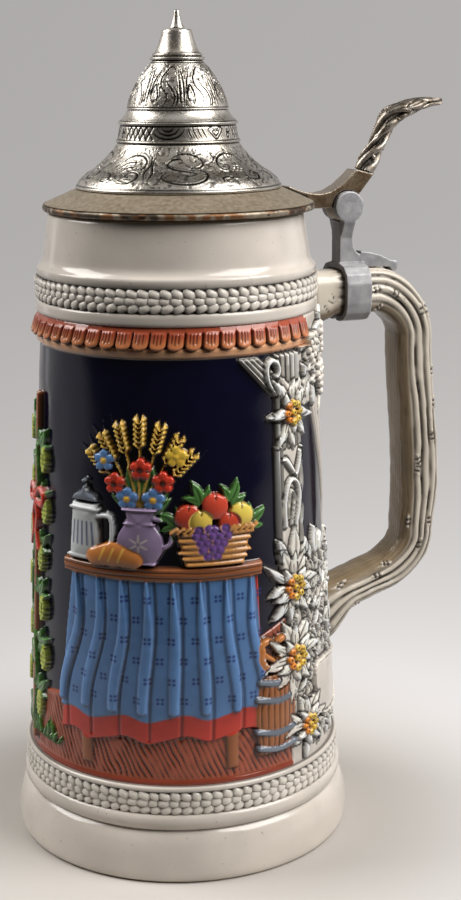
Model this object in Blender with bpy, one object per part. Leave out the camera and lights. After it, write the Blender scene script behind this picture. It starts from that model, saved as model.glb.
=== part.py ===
"""Beer stein with a hinged steeple lid: a stoneware vessel, a bark handle and a pewter lid, piece by piece.

All sizes are in metres. The vessel axis is Z, the table is z = 0 and the handle points along +X.
"""

import math

import bmesh
import bpy
from mathutils import Matrix, Vector

# Clearances between pieces
GAP = 0.0003
PIN_CLEARANCE = 0.0002

# Vessel heights, stacked upwards from the table
FOOT_HEIGHT = 0.0170
ROLL_HEIGHT = 0.0055
LOWER_ROPE_HEIGHT = 0.0070
LEDGE_HEIGHT = 0.0021
PANEL_HEIGHT = 0.1369
EAVE_HEIGHT = 0.0094
SHOULDER_HEIGHT = 0.0042
UPPER_ROPE_HEIGHT = 0.0073
NECK_HEIGHT = 0.0200

# Vessel radii
FOOT_RADIUS = 0.0570
FOOT_WAIST_RADIUS = 0.0536
LOWER_ROPE_RADIUS = 0.0546
LEDGE_RADIUS = 0.0535
PANEL_LOW_RADIUS = 0.0511
PANEL_TOP_RADIUS = 0.0452
EAVE_RADIUS = 0.0479
SHOULDER_RADIUS = 0.0457
UPPER_ROPE_RADIUS = 0.0465
COLLAR_RADIUS = 0.0453
NECK_RADIUS = 0.0433
MOUTH_RADIUS = 0.0416

# Vessel walls and relief
WALL = 0.0060
LIP_WALL = 0.0034
LIP_ROUND = 0.0011
FLOOR = 0.0080
FLOOR_ROUND = 0.0060
FOOT_CHAMFER = 0.0010
FOOT_SWELL = 0.0012
ROLL_SWELL = 0.0011
LEDGE_ROUND = 0.0006
ROPE_GROOVE = 0.0010
ROPE_ROWS = 3
LIP_UNDER_EAVE = 0.0011
COLLAR_HEIGHT = 0.0028
COLLAR_COVE = 0.0040
TILES = 54
TILE_LENGTH = 0.0065
TILE_NOTCH = 0.0014

# Picture relief on the panel: how far its forms stand out, and how deep they are rooted in the wall
PICTURE_HEIGHT = 0.1369
PICTURE_RADIUS = 0.0480
RELIEF_ROOT = 0.0012
RELIEF_LOW = 0.0013
RELIEF_MID = 0.0020
RELIEF_HIGH = 0.0028
RELIEF_FRONT = 0.0034
RELIEF_STRIP = math.radians(12.0)

# Where the parts of the picture stand round the vessel
PILLAR_TURN = math.radians(298.0)
TABLE_TURN = math.radians(243.0)
HOP_TURN = math.radians(178.0)
BARREL_TURN = math.radians(116.0)

# Half outlines of the forms, as (half width, rise) from the foot of each
PILLAR_SIDE = ((0.0055, 0.0), (0.0062, 0.0370), (0.0070, 0.0660))
LEG_SIDE = ((0.0024, 0.0), (0.0026, 0.0088))
BOARD_SIDE = ((0.0330, 0.0), (0.0334, 0.0044))
JUG_SIDE = ((0.0046, 0.0), (0.0076, 0.0055), (0.0072, 0.0100), (0.0046, 0.0142), (0.0054, 0.0187))
SHEAF_SIDE = ((0.0040, 0.0), (0.0150, 0.0120), (0.0180, 0.0200), (0.0110, 0.0260), (0.0, 0.0290))
STEIN_SIDE = ((0.0060, 0.0), (0.0050, 0.0187), (0.0013, 0.0227), (0.0, 0.0252))
BASKET_SIDE = ((0.0095, 0.0), (0.0122, 0.0112))
FRUIT_SIDE = ((0.0112, 0.0), (0.0118, 0.0040), (0.0060, 0.0100), (0.0, 0.0120))
BUNCH_SIDE = ((0.0, 0.0), (0.0028, 0.0030), (0.0046, 0.0098))
LOAF_SIDE = ((0.0042, 0.0), (0.0075, 0.0030), (0.0060, 0.0066), (0.0, 0.0080))
KEG_SIDE = ((0.0060, 0.0), (0.0076, 0.0135), (0.0060, 0.0270))
HOP_SIDE = ((0.0080, 0.0), (0.0100, 0.0210), (0.0075, 0.0360), (0.0100, 0.0530), (0.0075, 0.0690),
            (0.0095, 0.0860), (0.0070, 0.1020), (0.0, 0.1130))
BOW_SIDE = ((0.0035, 0.0), (0.0072, 0.0120), (0.0072, 0.0185), (0.0, 0.0160))
TRESTLE_SIDE = ((0.0030, 0.0), (0.0026, 0.0110))
RAIL_SIDE = ((0.0190, 0.0), (0.0190, 0.0060))
TAP_SIDE = ((0.0016, 0.0), (0.0026, 0.0100))
SHELF_SIDE = ((0.0250, 0.0), (0.0250, 0.0038))

# Whole outlines of the forms, as (across, rise) from the panel's bottom
BRACE = ((-0.0104, 0.1235), (-0.0080, 0.1270), (-0.0140, 0.1350), (-0.0215, 0.1350))
BANK = ((0.0040, 0.0015), (0.0390, 0.0015), (0.0390, 0.0675), (0.0040, 0.0675))
VINE = ((0.0090, 0.1165), (0.0390, 0.1155), (0.0390, 0.1340), (0.0090, 0.1340))
PLAQUE = ((0.0145, 0.0190), (0.0375, 0.0190), (0.0375, 0.0310), (0.0145, 0.0310))
CLOTH = ((-0.0360, 0.0205), (-0.0120, 0.0200), (0.0100, 0.0225), (0.0320, 0.0235), (0.0300, 0.0668),
         (-0.0310, 0.0668))
HEM = ((-0.0360, 0.0135), (0.0320, 0.0160), (0.0320, 0.0230), (0.0100, 0.0220), (-0.0120, 0.0195),
       (-0.0360, 0.0200))

# Where the forms stand in the picture, from its middle lines and the panel's bottom
PILLAR_FOOT = 0.0685
BUNCH_PLACES = (0.0190, 0.0310)
BUNCH_FOOT = 0.1195
LEG_PLACES = (-0.0250, 0.0210)
LEG_FOOT = 0.0045
BOARD_FOOT = 0.0673
BOARD_TOP = 0.0721
JUG_PLACE = -0.0065
SHEAF_FOOT = 0.0912
STEIN_PLACE = -0.0255
BASKET_PLACE = 0.0165
FRUIT_FOOT = 0.0837
LOAF_PLACE = -0.0150
KEG_PLACE = 0.0362
KEG_FOOT = 0.0063
KEG_PRETZEL = 0.0400
HOP_FOOT = 0.0075
BOW_FOOT = 0.0700
TRESTLE_PLACE = 0.0150
BARREL_MIDDLE = 0.0445
RAIL_FOOT = 0.0415
TAP_FOOT = 0.0250
SHELF_FOOT = 0.0745
SHELF_TOP = 0.0787
SHELF_STEIN = 0.0155
SHELF_PRETZEL = 0.0950
RELIEF_LAYERS = 3

# Blooms, pretzels and the big barrel
BLOOM_RADIUS = 0.0080
BLOOM_POINTS = 14
BLOOM_WAIST = 0.62
BLOOM_PLACES = ((0.0022, 0.1170), (0.0, 0.0604), (-0.0005, 0.0349), (0.0032, 0.0119))
PRETZEL_RADIUS = 0.0056
PRETZEL_POINTS = 8
BARREL_RADIUS = 0.0255
BARREL_POINTS = 20
GARLAND_INNER = 0.0235
GARLAND_OUTER = 0.0295
GARLAND_POINTS = 7
GARLAND_END = math.radians(24.0)

# Handle, measured on its centre line
HANDLE_WIDTH = 0.0165
HANDLE_CORNER = 0.0042
HANDLE_CORNER_CUT = 0.0013
HANDLE_REACH = 0.0899
HANDLE_LEAN = 0.0034
HANDLE_LOW_LEAN = 0.0011
HANDLE_GRIP_RISE = 0.0340
HANDLE_TOP_RISE = 0.0017
HANDLE_TOP_BEND = 0.0160
HANDLE_LOW_RISE = 0.0450
HANDLE_LOW_BEND = 0.0148
HANDLE_LOW_SLOPE = math.radians(18.0)
HANDLE_TOP_DEPTH = 0.0150
HANDLE_BEND_DEPTH = 0.0116
HANDLE_GRIP_DEPTH = 0.0130
HANDLE_LOW_DEPTH = 0.0110
HANDLE_TAIL_DEPTH = 0.0235
HANDLE_TAIL_REACH = 0.0114
HANDLE_TAIL_DROP = 0.0085
BARK_GROOVE = 0.0009
BARK_RIBS = 4

# Lid, stacked upwards from the mouth
LID_OFFSET = 0.0012
RIM_RADIUS = 0.0441
RIM_EDGE = 0.0021
RIM_RISE = 0.0046
RIM_SEAT = 0.0060
RIM_THICKNESS = 0.0018
SKIRT_RADIUS = 0.0332
SKIRT_HEIGHT = 0.0144
SKIRT_WAIST = 0.0060
SKIRT_SWELL = 0.0013
DRUM_RADIUS = 0.0190
DRUM_HEIGHT = 0.0066
BAND_RADIUS = 0.0163
BAND_HEIGHT = 0.0034
DOME_HEIGHT = 0.0150
DOME_SWELL = 0.0011
STEP_RADIUS = 0.0086
STEP_HEIGHT = 0.0023
CONE_RADIUS = 0.0074
CONE_TOP_RADIUS = 0.0048
CONE_HEIGHT = 0.0073
CONE_HOLLOW = 0.0006
BEAD = 0.0005
SHELL = 0.0012
FINIAL_RADIUS = 0.0023
FINIAL_TIP_RADIUS = 0.0008
FINIAL_HEIGHT = 0.0057

# Hinge
HINGE_REACH = 0.0147
PIVOT_DROP = 0.0009
HINGE_RADIUS = 0.0052
HINGE_WIDTH = 0.0118
KNUCKLE_WIDTH = 0.0058
PIN_RADIUS = 0.0013
RING_CAP = 0.0010
POST_WIDTH = 0.0066
POST_DEPTH = 0.0049
POST_FLARE = 0.0055
STRAP_LENGTH = 0.0094
STRAP_THICKNESS = 0.0020
STRAP_CURL = 0.0026
TONGUE_LENGTH = 0.0178
TONGUE_THICKNESS = 0.0020

# Arm and thumb piece
ARM_WIDTH = 0.0075
ARM_THICKNESS = 0.0048
ARM_GRIP = 0.0068
ARM_TIP = 0.0007
ARM_RISE = 0.0122
ARM_LIFT = math.radians(45.0)
ARM_HEAD = 0.0066
HEAD_SLOPE = 0.25
STEM_SET = 0.0074
STEM_DEPTH = 0.0036
STEM_WIDTH = 0.0056
STEM_LEAN = math.radians(64.0)
STEM_LENGTH = 0.0175
STEM_STRAIGHT = 0.0105
KNEE_DEPTH = 0.0056
KNEE_WIDTH = 0.0080
KNEE_LEAN = math.radians(45.0)
LEAF_LENGTH = 0.0205
LEAF_RISE = 0.0058
LEAF_WIDTH = 0.0110
LEAF_DEPTH = 0.0035
LEAF_BACK = 0.0068
LEAF_BACK_RISE = 0.0044
LEAF_BACK_LEAN = math.radians(18.0)
LEAF_TIP_WIDTH = 0.0037
LEAF_TIP_DEPTH = 0.0011
LEAF_TIP_LEAN = math.radians(-6.0)

# Smoothness of round shapes
TILE_STEPS = 2
VESSEL_STEPS = TILES * TILE_STEPS
LID_STEPS = 36
FINIAL_STEPS = 20
RING_STEPS = 32
PIN_STEPS = 16
CURVE_STEPS = 4
ROLL_STEPS = 3
SHARP_ANGLE = math.radians(38.0)
MERGE = 0.000001
OVERSHOOT = 0.0010

# Levels that follow from the heights
FOOT_TOP = FOOT_HEIGHT
ROLL_TOP = FOOT_TOP + ROLL_HEIGHT
LOWER_ROPE_TOP = ROLL_TOP + LOWER_ROPE_HEIGHT
PANEL_BOTTOM = LOWER_ROPE_TOP + LEDGE_HEIGHT
PANEL_TOP = PANEL_BOTTOM + PANEL_HEIGHT
EAVE_TOP = PANEL_TOP + EAVE_HEIGHT
EAVE_TIP = EAVE_TOP - TILE_LENGTH
SHOULDER_TOP = EAVE_TOP + SHOULDER_HEIGHT
UPPER_ROPE_TOP = SHOULDER_TOP + UPPER_ROPE_HEIGHT
MOUTH = UPPER_ROPE_TOP + NECK_HEIGHT
RIM_BOTTOM = MOUTH + GAP
RIM_EDGE_TOP = RIM_BOTTOM + RIM_EDGE
RIM_TOP = RIM_EDGE_TOP + RIM_RISE
SKIRT_BOTTOM = RIM_TOP + GAP
DRUM_BOTTOM = SKIRT_BOTTOM + SKIRT_HEIGHT
BAND_BOTTOM = DRUM_BOTTOM + DRUM_HEIGHT
SKIRT_TOP = BAND_BOTTOM + BAND_HEIGHT
DOME_BOTTOM = SKIRT_TOP + GAP
STEP_BOTTOM = DOME_BOTTOM + DOME_HEIGHT
CONE_BOTTOM = STEP_BOTTOM + STEP_HEIGHT
CONE_TOP = CONE_BOTTOM + CONE_HEIGHT
FINIAL_BOTTOM = CONE_TOP + GAP

# Places that follow from the sizes
PIVOT = Vector((LID_OFFSET + RIM_RADIUS + HINGE_REACH, 0.0, MOUTH - PIVOT_DROP))
HANDLE_TOP = EAVE_TOP + HANDLE_TOP_RISE
HANDLE_LOW = PANEL_BOTTOM + HANDLE_LOW_RISE
STRAP_TOP = HANDLE_TOP + HANDLE_TOP_DEPTH / 2 + GAP + STRAP_THICKNESS


def clear_scene():
    """Remove every object that is in the scene."""
    for item in list(bpy.data.objects):
        bpy.data.objects.remove(item, do_unlink=True)


def finish(name, colour, roughness, metallic):
    """A plain surface finish."""
    material = bpy.data.materials.new(name)
    material.use_nodes = True
    shader = material.node_tree.nodes["Principled BSDF"]
    shader.inputs["Base Color"].default_value = (*colour, 1.0)
    shader.inputs["Roughness"].default_value = roughness
    shader.inputs["Metallic"].default_value = metallic
    return material


def mesh_object(name, bm, material=None):
    """Turn a built mesh into a named, smoothly shaded object."""
    bmesh.ops.recalc_face_normals(bm, faces=bm.faces)
    mesh = bpy.data.meshes.new(name)
    bm.to_mesh(mesh)
    bm.free()
    mesh.shade_smooth()
    mesh.set_sharp_from_angle(angle=SHARP_ANGLE)
    if material:
        mesh.materials.append(material)
    item = bpy.data.objects.new(name, mesh)
    bpy.context.collection.objects.link(item)
    return item


def turned(profile, steps, closed=False):
    """Spin a profile of (radius, height) points round the Z axis."""
    bm = bmesh.new()
    verts = [bm.verts.new((radius, 0.0, height)) for radius, height in profile]
    edges = [bm.edges.new(pair) for pair in zip(verts, verts[1:])]
    if closed:
        edges.append(bm.edges.new((verts[-1], verts[0])))
    bmesh.ops.spin(bm, geom=verts + edges, cent=(0, 0, 0), axis=(0, 0, 1),
                   angle=math.tau, steps=steps, use_merge=True)
    bmesh.ops.remove_doubles(bm, verts=bm.verts, dist=MERGE)
    return bm


def extruded(outline, step):
    """Extrude a flat outline of points along one step."""
    bm = bmesh.new()
    face = bm.faces.new([bm.verts.new(point) for point in outline])
    grown = bmesh.ops.extrude_face_region(bm, geom=[face])["geom"]
    moved = [item for item in grown if isinstance(item, bmesh.types.BMVert)]
    bmesh.ops.translate(bm, verts=moved, vec=step)
    return bm


def side_plate(outline, width, middle=0.0):
    """Extrude an outline of (x, z) points along Y to a plate about its middle plane."""
    points = [(x, middle - width / 2, z) for x, z in outline]
    return extruded(points, (0.0, width, 0.0))


def cross_bar(radius, width, steps, middle=0.0):
    """A round bar along Y on the hinge axis, about its middle plane."""
    outline = []
    for step in range(steps):
        angle = math.tau * (step + 0.5) / steps
        outline.append((PIVOT.x + radius * math.cos(angle), PIVOT.z + radius * math.sin(angle)))
    return side_plate(outline, width, middle)


def lofted(rings):
    """Skin closed rings of points in order and cap both ends."""
    bm = bmesh.new()
    loops = [[bm.verts.new(point) for point in ring] for ring in rings]
    count = len(loops[0])
    for low, high in zip(loops, loops[1:]):
        for index in range(count):
            after = (index + 1) % count
            bm.faces.new((low[index], low[after], high[after], high[index]))
    bm.faces.new(list(reversed(loops[0])))
    bm.faces.new(loops[-1])
    return bm


def combine(target, operation, bm):
    """Join a shape to an object, or cut it away, with a hidden helper object."""
    name = f"{target.name}_{operation.lower()}_{len(target.modifiers)}"
    helper = mesh_object(name, bm)
    helper.hide_render = True
    helper.display_type = "WIRE"
    modifier = target.modifiers.new(name, "BOOLEAN")
    modifier.operation = operation
    modifier.object = helper


def bowed(start, end, swell, steps=CURVE_STEPS):
    """Points of a turned profile from start to just before end, bowed outwards by swell."""
    points = []
    for step in range(steps):
        t = step / steps
        radius = start[0] + (end[0] - start[0]) * t + 4 * swell * t * (1 - t)
        points.append((radius, start[1] + (end[1] - start[1]) * t))
    return points


def rope_rows(top, height, radius):
    """Half-round cords lying round the vessel, from the top groove to the bottom one."""
    spacing = height / ROPE_ROWS
    points = [(radius - ROPE_GROOVE, top)]
    for row in range(ROPE_ROWS):
        points.append((radius, top - (row + 0.5) * spacing))
        points.append((radius - ROPE_GROOVE, top - (row + 1) * spacing))
    return points


def outer_profile(clearance=0.0):
    """The vessel's outside from the mouth down to the foot, grown by a clearance."""
    collar = UPPER_ROPE_TOP + COLLAR_HEIGHT
    lip = EAVE_TIP - LIP_UNDER_EAVE
    flare = COLLAR_RADIUS - NECK_RADIUS
    points = [(MOUTH_RADIUS, MOUTH - LIP_ROUND), (NECK_RADIUS, collar + COLLAR_COVE)]
    points.append((NECK_RADIUS + flare / 4, collar + COLLAR_COVE / 3))
    points.append((COLLAR_RADIUS, collar))
    points += rope_rows(UPPER_ROPE_TOP, UPPER_ROPE_HEIGHT, UPPER_ROPE_RADIUS)
    points.append((SHOULDER_RADIUS, EAVE_TOP))
    points.append((EAVE_RADIUS, EAVE_TIP))
    points.append((EAVE_RADIUS - LIP_UNDER_EAVE, lip))
    points.append((PANEL_TOP_RADIUS + LIP_UNDER_EAVE, PANEL_TOP))
    points.append((PANEL_TOP_RADIUS, PANEL_TOP - LIP_UNDER_EAVE))
    points.append((PANEL_LOW_RADIUS, PANEL_BOTTOM))
    points.append((LEDGE_RADIUS, PANEL_BOTTOM - LEDGE_ROUND))
    rope = rope_rows(LOWER_ROPE_TOP, LOWER_ROPE_HEIGHT, LOWER_ROPE_RADIUS)
    points += rope
    points += bowed(rope[-1], (FOOT_WAIST_RADIUS, FOOT_TOP), ROLL_SWELL, ROLL_STEPS)[1:]
    points += bowed((FOOT_WAIST_RADIUS, FOOT_TOP), (FOOT_RADIUS, FOOT_CHAMFER), FOOT_SWELL, ROLL_STEPS)
    points.append((FOOT_RADIUS, FOOT_CHAMFER))
    points.append((FOOT_RADIUS - FOOT_CHAMFER, 0.0))
    return [(radius + clearance, height) for radius, height in points]


def inner_profile():
    """The vessel's inside from the middle of the floor up to the lip."""
    low_wall = PANEL_LOW_RADIUS - WALL
    corner = FLOOR + FLOOR_ROUND
    slant = FLOOR_ROUND * (1 - math.sqrt(0.5))
    return [
        (0.0, FLOOR),
        (low_wall - FLOOR_ROUND, FLOOR),
        (low_wall - slant, FLOOR + slant),
        (low_wall, corner),
        (PANEL_TOP_RADIUS - WALL, PANEL_TOP),
        (MOUTH_RADIUS - LIP_WALL, MOUTH - 2 * LIP_ROUND),
        (MOUTH_RADIUS - LIP_WALL + LIP_ROUND, MOUTH),
        (MOUTH_RADIUS - LIP_ROUND, MOUTH),
    ]


def notch_tiles(bm):
    """Slide every second point of the eave's edge up the roof, so that it reads as rounded tiles."""
    share = TILE_NOTCH / TILE_LENGTH
    notch_radius = EAVE_RADIUS + (SHOULDER_RADIUS - EAVE_RADIUS) * share - GAP / 2
    for vert in bm.verts:
        if abs(vert.co.z - EAVE_TIP) < MERGE:
            angle = math.atan2(vert.co.y, vert.co.x)
            if round(angle / math.tau * VESSEL_STEPS) % TILE_STEPS:
                vert.co.x = notch_radius * math.cos(angle)
                vert.co.y = notch_radius * math.sin(angle)
                vert.co.z += TILE_NOTCH


def thin_rings(bm):
    """Leave out every second point of each ring but the eave's edge, which needs two for each tile."""
    rings = {}
    for vert in bm.verts:
        radius = math.hypot(vert.co.x, vert.co.y)
        if radius > MERGE:
            column = round(math.atan2(vert.co.y, vert.co.x) / math.tau * VESSEL_STEPS) % VESSEL_STEPS
            ring = (round(radius / MERGE), round(vert.co.z / MERGE))
            rings.setdefault(ring, {})[column] = vert
    joined = {}
    for ring in rings.values():
        if len(ring) == VESSEL_STEPS:
            for column in range(1, VESSEL_STEPS, TILE_STEPS):
                joined[ring[column]] = ring[column - 1]
    bmesh.ops.weld_verts(bm, targetmap=joined)


def mirrored(side, middle, foot):
    """A whole outline from its half, set on a foot point of the picture."""
    right = [(middle + half, foot + rise) for half, rise in side]
    left = [(middle - half, foot + rise) for half, rise in reversed(side) if half > 0]
    return right + left


def round_outline(middle, height, radius, count, waist=1.0):
    """A round outline, or a star where every second point is drawn in."""
    points = []
    for index in range(count):
        reach = radius * (waist if index % 2 else 1.0)
        angle = math.tau * (index + 0.5) / count
        points.append((middle + reach * math.cos(angle), height + reach * math.sin(angle)))
    return points


def raised(bm, turn, outline, stand, flip=1):
    """Add a form that stands out from the panel, from an outline of (across, rise) points."""
    flat = bmesh.new()
    stretch = PANEL_HEIGHT / PICTURE_HEIGHT
    points = [(turn + flip * across / PICTURE_RADIUS, rise * stretch) for across, rise in outline]
    flat.faces.new([flat.verts.new((angle, rise, 0.0)) for angle, rise in points])
    last = max(angle for angle, rise in points)
    cut = min(angle for angle, rise in points) + RELIEF_STRIP
    while cut < last:
        geom = flat.verts[:] + flat.edges[:] + flat.faces[:]
        bmesh.ops.bisect_plane(flat, geom=geom, plane_co=(cut, 0.0, 0.0), plane_no=(1.0, 0.0, 0.0))
        cut += RELIEF_STRIP
    bmesh.ops.recalc_face_normals(flat, faces=flat.faces)
    grown = bmesh.ops.extrude_face_region(flat, geom=flat.faces[:])["geom"]
    outside = {item for item in grown if isinstance(item, bmesh.types.BMVert)}
    copies = {}
    for vert in flat.verts:
        angle, rise = vert.co.x, vert.co.y
        slope = (PANEL_TOP_RADIUS - PANEL_LOW_RADIUS) * rise / PANEL_HEIGHT
        radius = PANEL_LOW_RADIUS + slope + (stand if vert in outside else -RELIEF_ROOT)
        place = (radius * math.cos(angle), radius * math.sin(angle), PANEL_BOTTOM + rise)
        copies[vert] = bm.verts.new(place)
    for face in flat.faces:
        bm.faces.new([copies[vert] for vert in face.verts])
    flat.free()


def garland(height):
    """The outline of the leaves that hang over the upper half of the big barrel."""
    points = []
    for radius, order in ((GARLAND_OUTER, 1), (GARLAND_INNER, -1)):
        arc = []
        for index in range(GARLAND_POINTS):
            angle = GARLAND_END + (math.pi - 2 * GARLAND_END) * index / (GARLAND_POINTS - 1)
            arc.append((radius * math.cos(angle), height + radius * math.sin(angle)))
        points += arc[::order]
    return points


def pillar_forms(bm, turn, flip, layer):
    """The house post, brace, leafy bank, vine, plaque and blooms beside the handle, layer by layer."""
    if layer == 0:
        raised(bm, turn, mirrored(PILLAR_SIDE, 0.0, PILLAR_FOOT), RELIEF_MID, flip)
        for outline in (BRACE, BANK, VINE):
            raised(bm, turn, outline, RELIEF_LOW, flip)
    if layer == 1:
        raised(bm, turn, PLAQUE, RELIEF_MID, flip)
        for middle in BUNCH_PLACES:
            raised(bm, turn, mirrored(BUNCH_SIDE, middle, BUNCH_FOOT), RELIEF_HIGH, flip)
    if layer == 2:
        for middle, rise in BLOOM_PLACES:
            bloom = round_outline(middle, rise, BLOOM_RADIUS, BLOOM_POINTS, BLOOM_WAIST)
            raised(bm, turn, bloom, RELIEF_FRONT, flip)


def table_forms(bm, layer):
    """The laid table with its cloth, jug, basket, bread and keg, layer by layer."""
    if layer == 0:
        raised(bm, TABLE_TURN, CLOTH, RELIEF_MID)
        raised(bm, TABLE_TURN, HEM, RELIEF_LOW)
        for middle in LEG_PLACES:
            raised(bm, TABLE_TURN, mirrored(LEG_SIDE, middle, LEG_FOOT), RELIEF_LOW)
        raised(bm, TABLE_TURN, mirrored(BOARD_SIDE, 0.0, BOARD_FOOT), RELIEF_HIGH)
        raised(bm, TABLE_TURN, mirrored(JUG_SIDE, JUG_PLACE, BOARD_TOP), RELIEF_HIGH)
        raised(bm, TABLE_TURN, mirrored(SHEAF_SIDE, JUG_PLACE, SHEAF_FOOT), RELIEF_MID)
        raised(bm, TABLE_TURN, mirrored(STEIN_SIDE, STEIN_PLACE, BOARD_TOP), RELIEF_HIGH)
        raised(bm, TABLE_TURN, mirrored(BASKET_SIDE, BASKET_PLACE, BOARD_TOP), RELIEF_HIGH)
        raised(bm, TABLE_TURN, mirrored(FRUIT_SIDE, BASKET_PLACE, FRUIT_FOOT), RELIEF_FRONT)
    if layer == 1:
        raised(bm, TABLE_TURN, mirrored(LOAF_SIDE, LOAF_PLACE, BOARD_FOOT), RELIEF_FRONT)
        raised(bm, TABLE_TURN, mirrored(BUNCH_SIDE, BASKET_PLACE, BOARD_TOP), RELIEF_FRONT)
        raised(bm, TABLE_TURN, mirrored(KEG_SIDE, KEG_PLACE, KEG_FOOT), RELIEF_HIGH)
        pretzel = round_outline(KEG_PLACE, KEG_PRETZEL, PRETZEL_RADIUS, PRETZEL_POINTS)
        raised(bm, TABLE_TURN, pretzel, RELIEF_HIGH)


def barrel_forms(bm, layer):
    """The hop pole, and the big barrel on its stand with steins and bread, layer by layer."""
    if layer == 0:
        raised(bm, HOP_TURN, mirrored(HOP_SIDE, 0.0, HOP_FOOT), RELIEF_MID)
        for side in (-1, 1):
            raised(bm, BARREL_TURN, mirrored(TRESTLE_SIDE, side * TRESTLE_PLACE, LEG_FOOT), RELIEF_LOW)
            raised(bm, BARREL_TURN, mirrored(STEIN_SIDE, side * SHELF_STEIN, SHELF_TOP), RELIEF_HIGH)
        barrel = round_outline(0.0, BARREL_MIDDLE, BARREL_RADIUS, BARREL_POINTS)
        raised(bm, BARREL_TURN, barrel, RELIEF_MID)
        raised(bm, BARREL_TURN, mirrored(SHELF_SIDE, 0.0, SHELF_FOOT), RELIEF_MID)
        raised(bm, BARREL_TURN, mirrored(LOAF_SIDE, 0.0, SHELF_TOP), RELIEF_FRONT)
        pretzel = round_outline(0.0, SHELF_PRETZEL, PRETZEL_RADIUS, PRETZEL_POINTS)
        raised(bm, BARREL_TURN, pretzel, RELIEF_MID)
    if layer == 1:
        raised(bm, HOP_TURN, mirrored(BOW_SIDE, 0.0, BOW_FOOT), RELIEF_HIGH)
        raised(bm, BARREL_TURN, garland(BARREL_MIDDLE), RELIEF_HIGH)
        raised(bm, BARREL_TURN, mirrored(RAIL_SIDE, 0.0, RAIL_FOOT), RELIEF_HIGH)
        raised(bm, BARREL_TURN, mirrored(TAP_SIDE, 0.0, TAP_FOOT), RELIEF_FRONT)


def make_body(material):
    """The moulded vessel with its foot, rope bands, picture relief, shingle eave and neck."""
    bm = turned(inner_profile() + outer_profile() + [(0.0, 0.0)], VESSEL_STEPS)
    notch_tiles(bm)
    thin_rings(bm)
    body = mesh_object("stein_body", bm, material)
    for layer in range(RELIEF_LAYERS):
        forms = bmesh.new()
        pillar_forms(forms, PILLAR_TURN, 1, layer)
        pillar_forms(forms, math.tau - PILLAR_TURN, -1, layer)
        table_forms(forms, layer)
        barrel_forms(forms, layer)
        combine(body, "UNION", forms)
    return body


def smooth_between(start, end, steps):
    """Points along a smooth curve from one (place, heading) to the next, without its end."""
    reach = (end[0] - start[0]).length
    leave = Vector((math.cos(start[1]), math.sin(start[1]))) * reach
    arrive = Vector((math.cos(end[1]), math.sin(end[1]))) * reach
    points = []
    for step in range(steps):
        t = step / steps
        place = start[0] * (2 * t**3 - 3 * t**2 + 1) + end[0] * (3 * t**2 - 2 * t**3)
        place += leave * (t**3 - 2 * t**2 + t) + arrive * (t**3 - t**2)
        points.append(place)
    return points


def handle_knots():
    """The handle's centre line as (place, heading, depth), from the top root to the tail."""
    down = -math.pi / 2
    grip_x = HANDLE_REACH - HANDLE_LEAN
    low_heading = math.pi + HANDLE_LOW_SLOPE
    low_x = HANDLE_REACH - HANDLE_LOW_BEND
    tail_x = PANEL_LOW_RADIUS + HANDLE_TAIL_REACH
    tail_z = HANDLE_LOW - (low_x - tail_x) * math.tan(HANDLE_LOW_SLOPE)
    root_x = PANEL_LOW_RADIUS - WALL
    root_z = tail_z - HANDLE_TAIL_DROP
    low_grip = Vector((HANDLE_REACH - HANDLE_LOW_LEAN, HANDLE_LOW + HANDLE_LOW_BEND))
    return [
        (Vector((PANEL_TOP_RADIUS - WALL, HANDLE_TOP)), 0.0, HANDLE_TOP_DEPTH),
        (Vector((grip_x - HANDLE_TOP_BEND, HANDLE_TOP)), 0.0, HANDLE_TOP_DEPTH),
        (Vector((grip_x, HANDLE_TOP - HANDLE_TOP_BEND)), down, HANDLE_BEND_DEPTH),
        (Vector((HANDLE_REACH, HANDLE_LOW + HANDLE_GRIP_RISE)), down, HANDLE_GRIP_DEPTH),
        (low_grip, down, HANDLE_LOW_DEPTH),
        (Vector((low_x, HANDLE_LOW)), low_heading - math.tau, HANDLE_LOW_DEPTH),
        (Vector((tail_x, tail_z)), low_heading - math.tau, HANDLE_LOW_DEPTH),
        (Vector((root_x, root_z)), low_heading - math.tau, HANDLE_TAIL_DEPTH),
    ]


def handle_section(half_depth):
    """Points (across, outwards) of the handle's section: smooth inside, grooved like bark elsewhere."""
    half_width = HANDLE_WIDTH / 2
    flat = half_depth - HANDLE_CORNER
    shoulder = half_width - HANDLE_CORNER
    cut = HANDLE_CORNER_CUT
    side = [
        (half_width - cut, cut - half_depth),
        (half_width, -flat),
        (half_width - BARK_GROOVE, -flat / 2),
        (half_width, 0.0),
        (half_width - BARK_GROOVE, flat / 2),
        (half_width, flat),
        (half_width - cut, half_depth - cut),
    ]
    back = []
    for step in range(2 * BARK_RIBS + 1):
        depth = half_depth - BARK_GROOVE * (1 - step % 2)
        back.append((shoulder * (1 - step / BARK_RIBS), depth))
    inside = [(-shoulder, -half_depth), (0.0, -half_depth), (shoulder, -half_depth)]
    return inside + side + back + [(-across, out) for across, out in reversed(side)]


def make_handle(material):
    """The bark handle, cut to the vessel's wall at both roots."""
    knots = handle_knots()
    rings = []
    stations = []
    for start, end in zip(knots, knots[1:]):
        places = smooth_between(start, end, CURVE_STEPS)
        for step, place in enumerate(places):
            stations.append((place, start[2] + (end[2] - start[2]) * step / CURVE_STEPS))
    stations.append((knots[-1][0], knots[-1][2]))
    for index, (place, depth) in enumerate(stations):
        before = stations[max(index - 1, 0)][0]
        after = stations[min(index + 1, len(stations) - 1)][0]
        along = (after - before).normalized()
        outwards = Vector((-along.y, along.x))
        ring = []
        for across, out in handle_section(depth / 2):
            point = place + outwards * out
            ring.append((point.x, across, point.y))
        rings.append(ring)
    handle = mesh_object("handle", lofted(rings), material)
    wall = [(0.0, MOUTH)] + outer_profile(GAP) + [(0.0, 0.0)]
    combine(handle, "DIFFERENCE", turned(wall, VESSEL_STEPS))
    return handle


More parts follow.
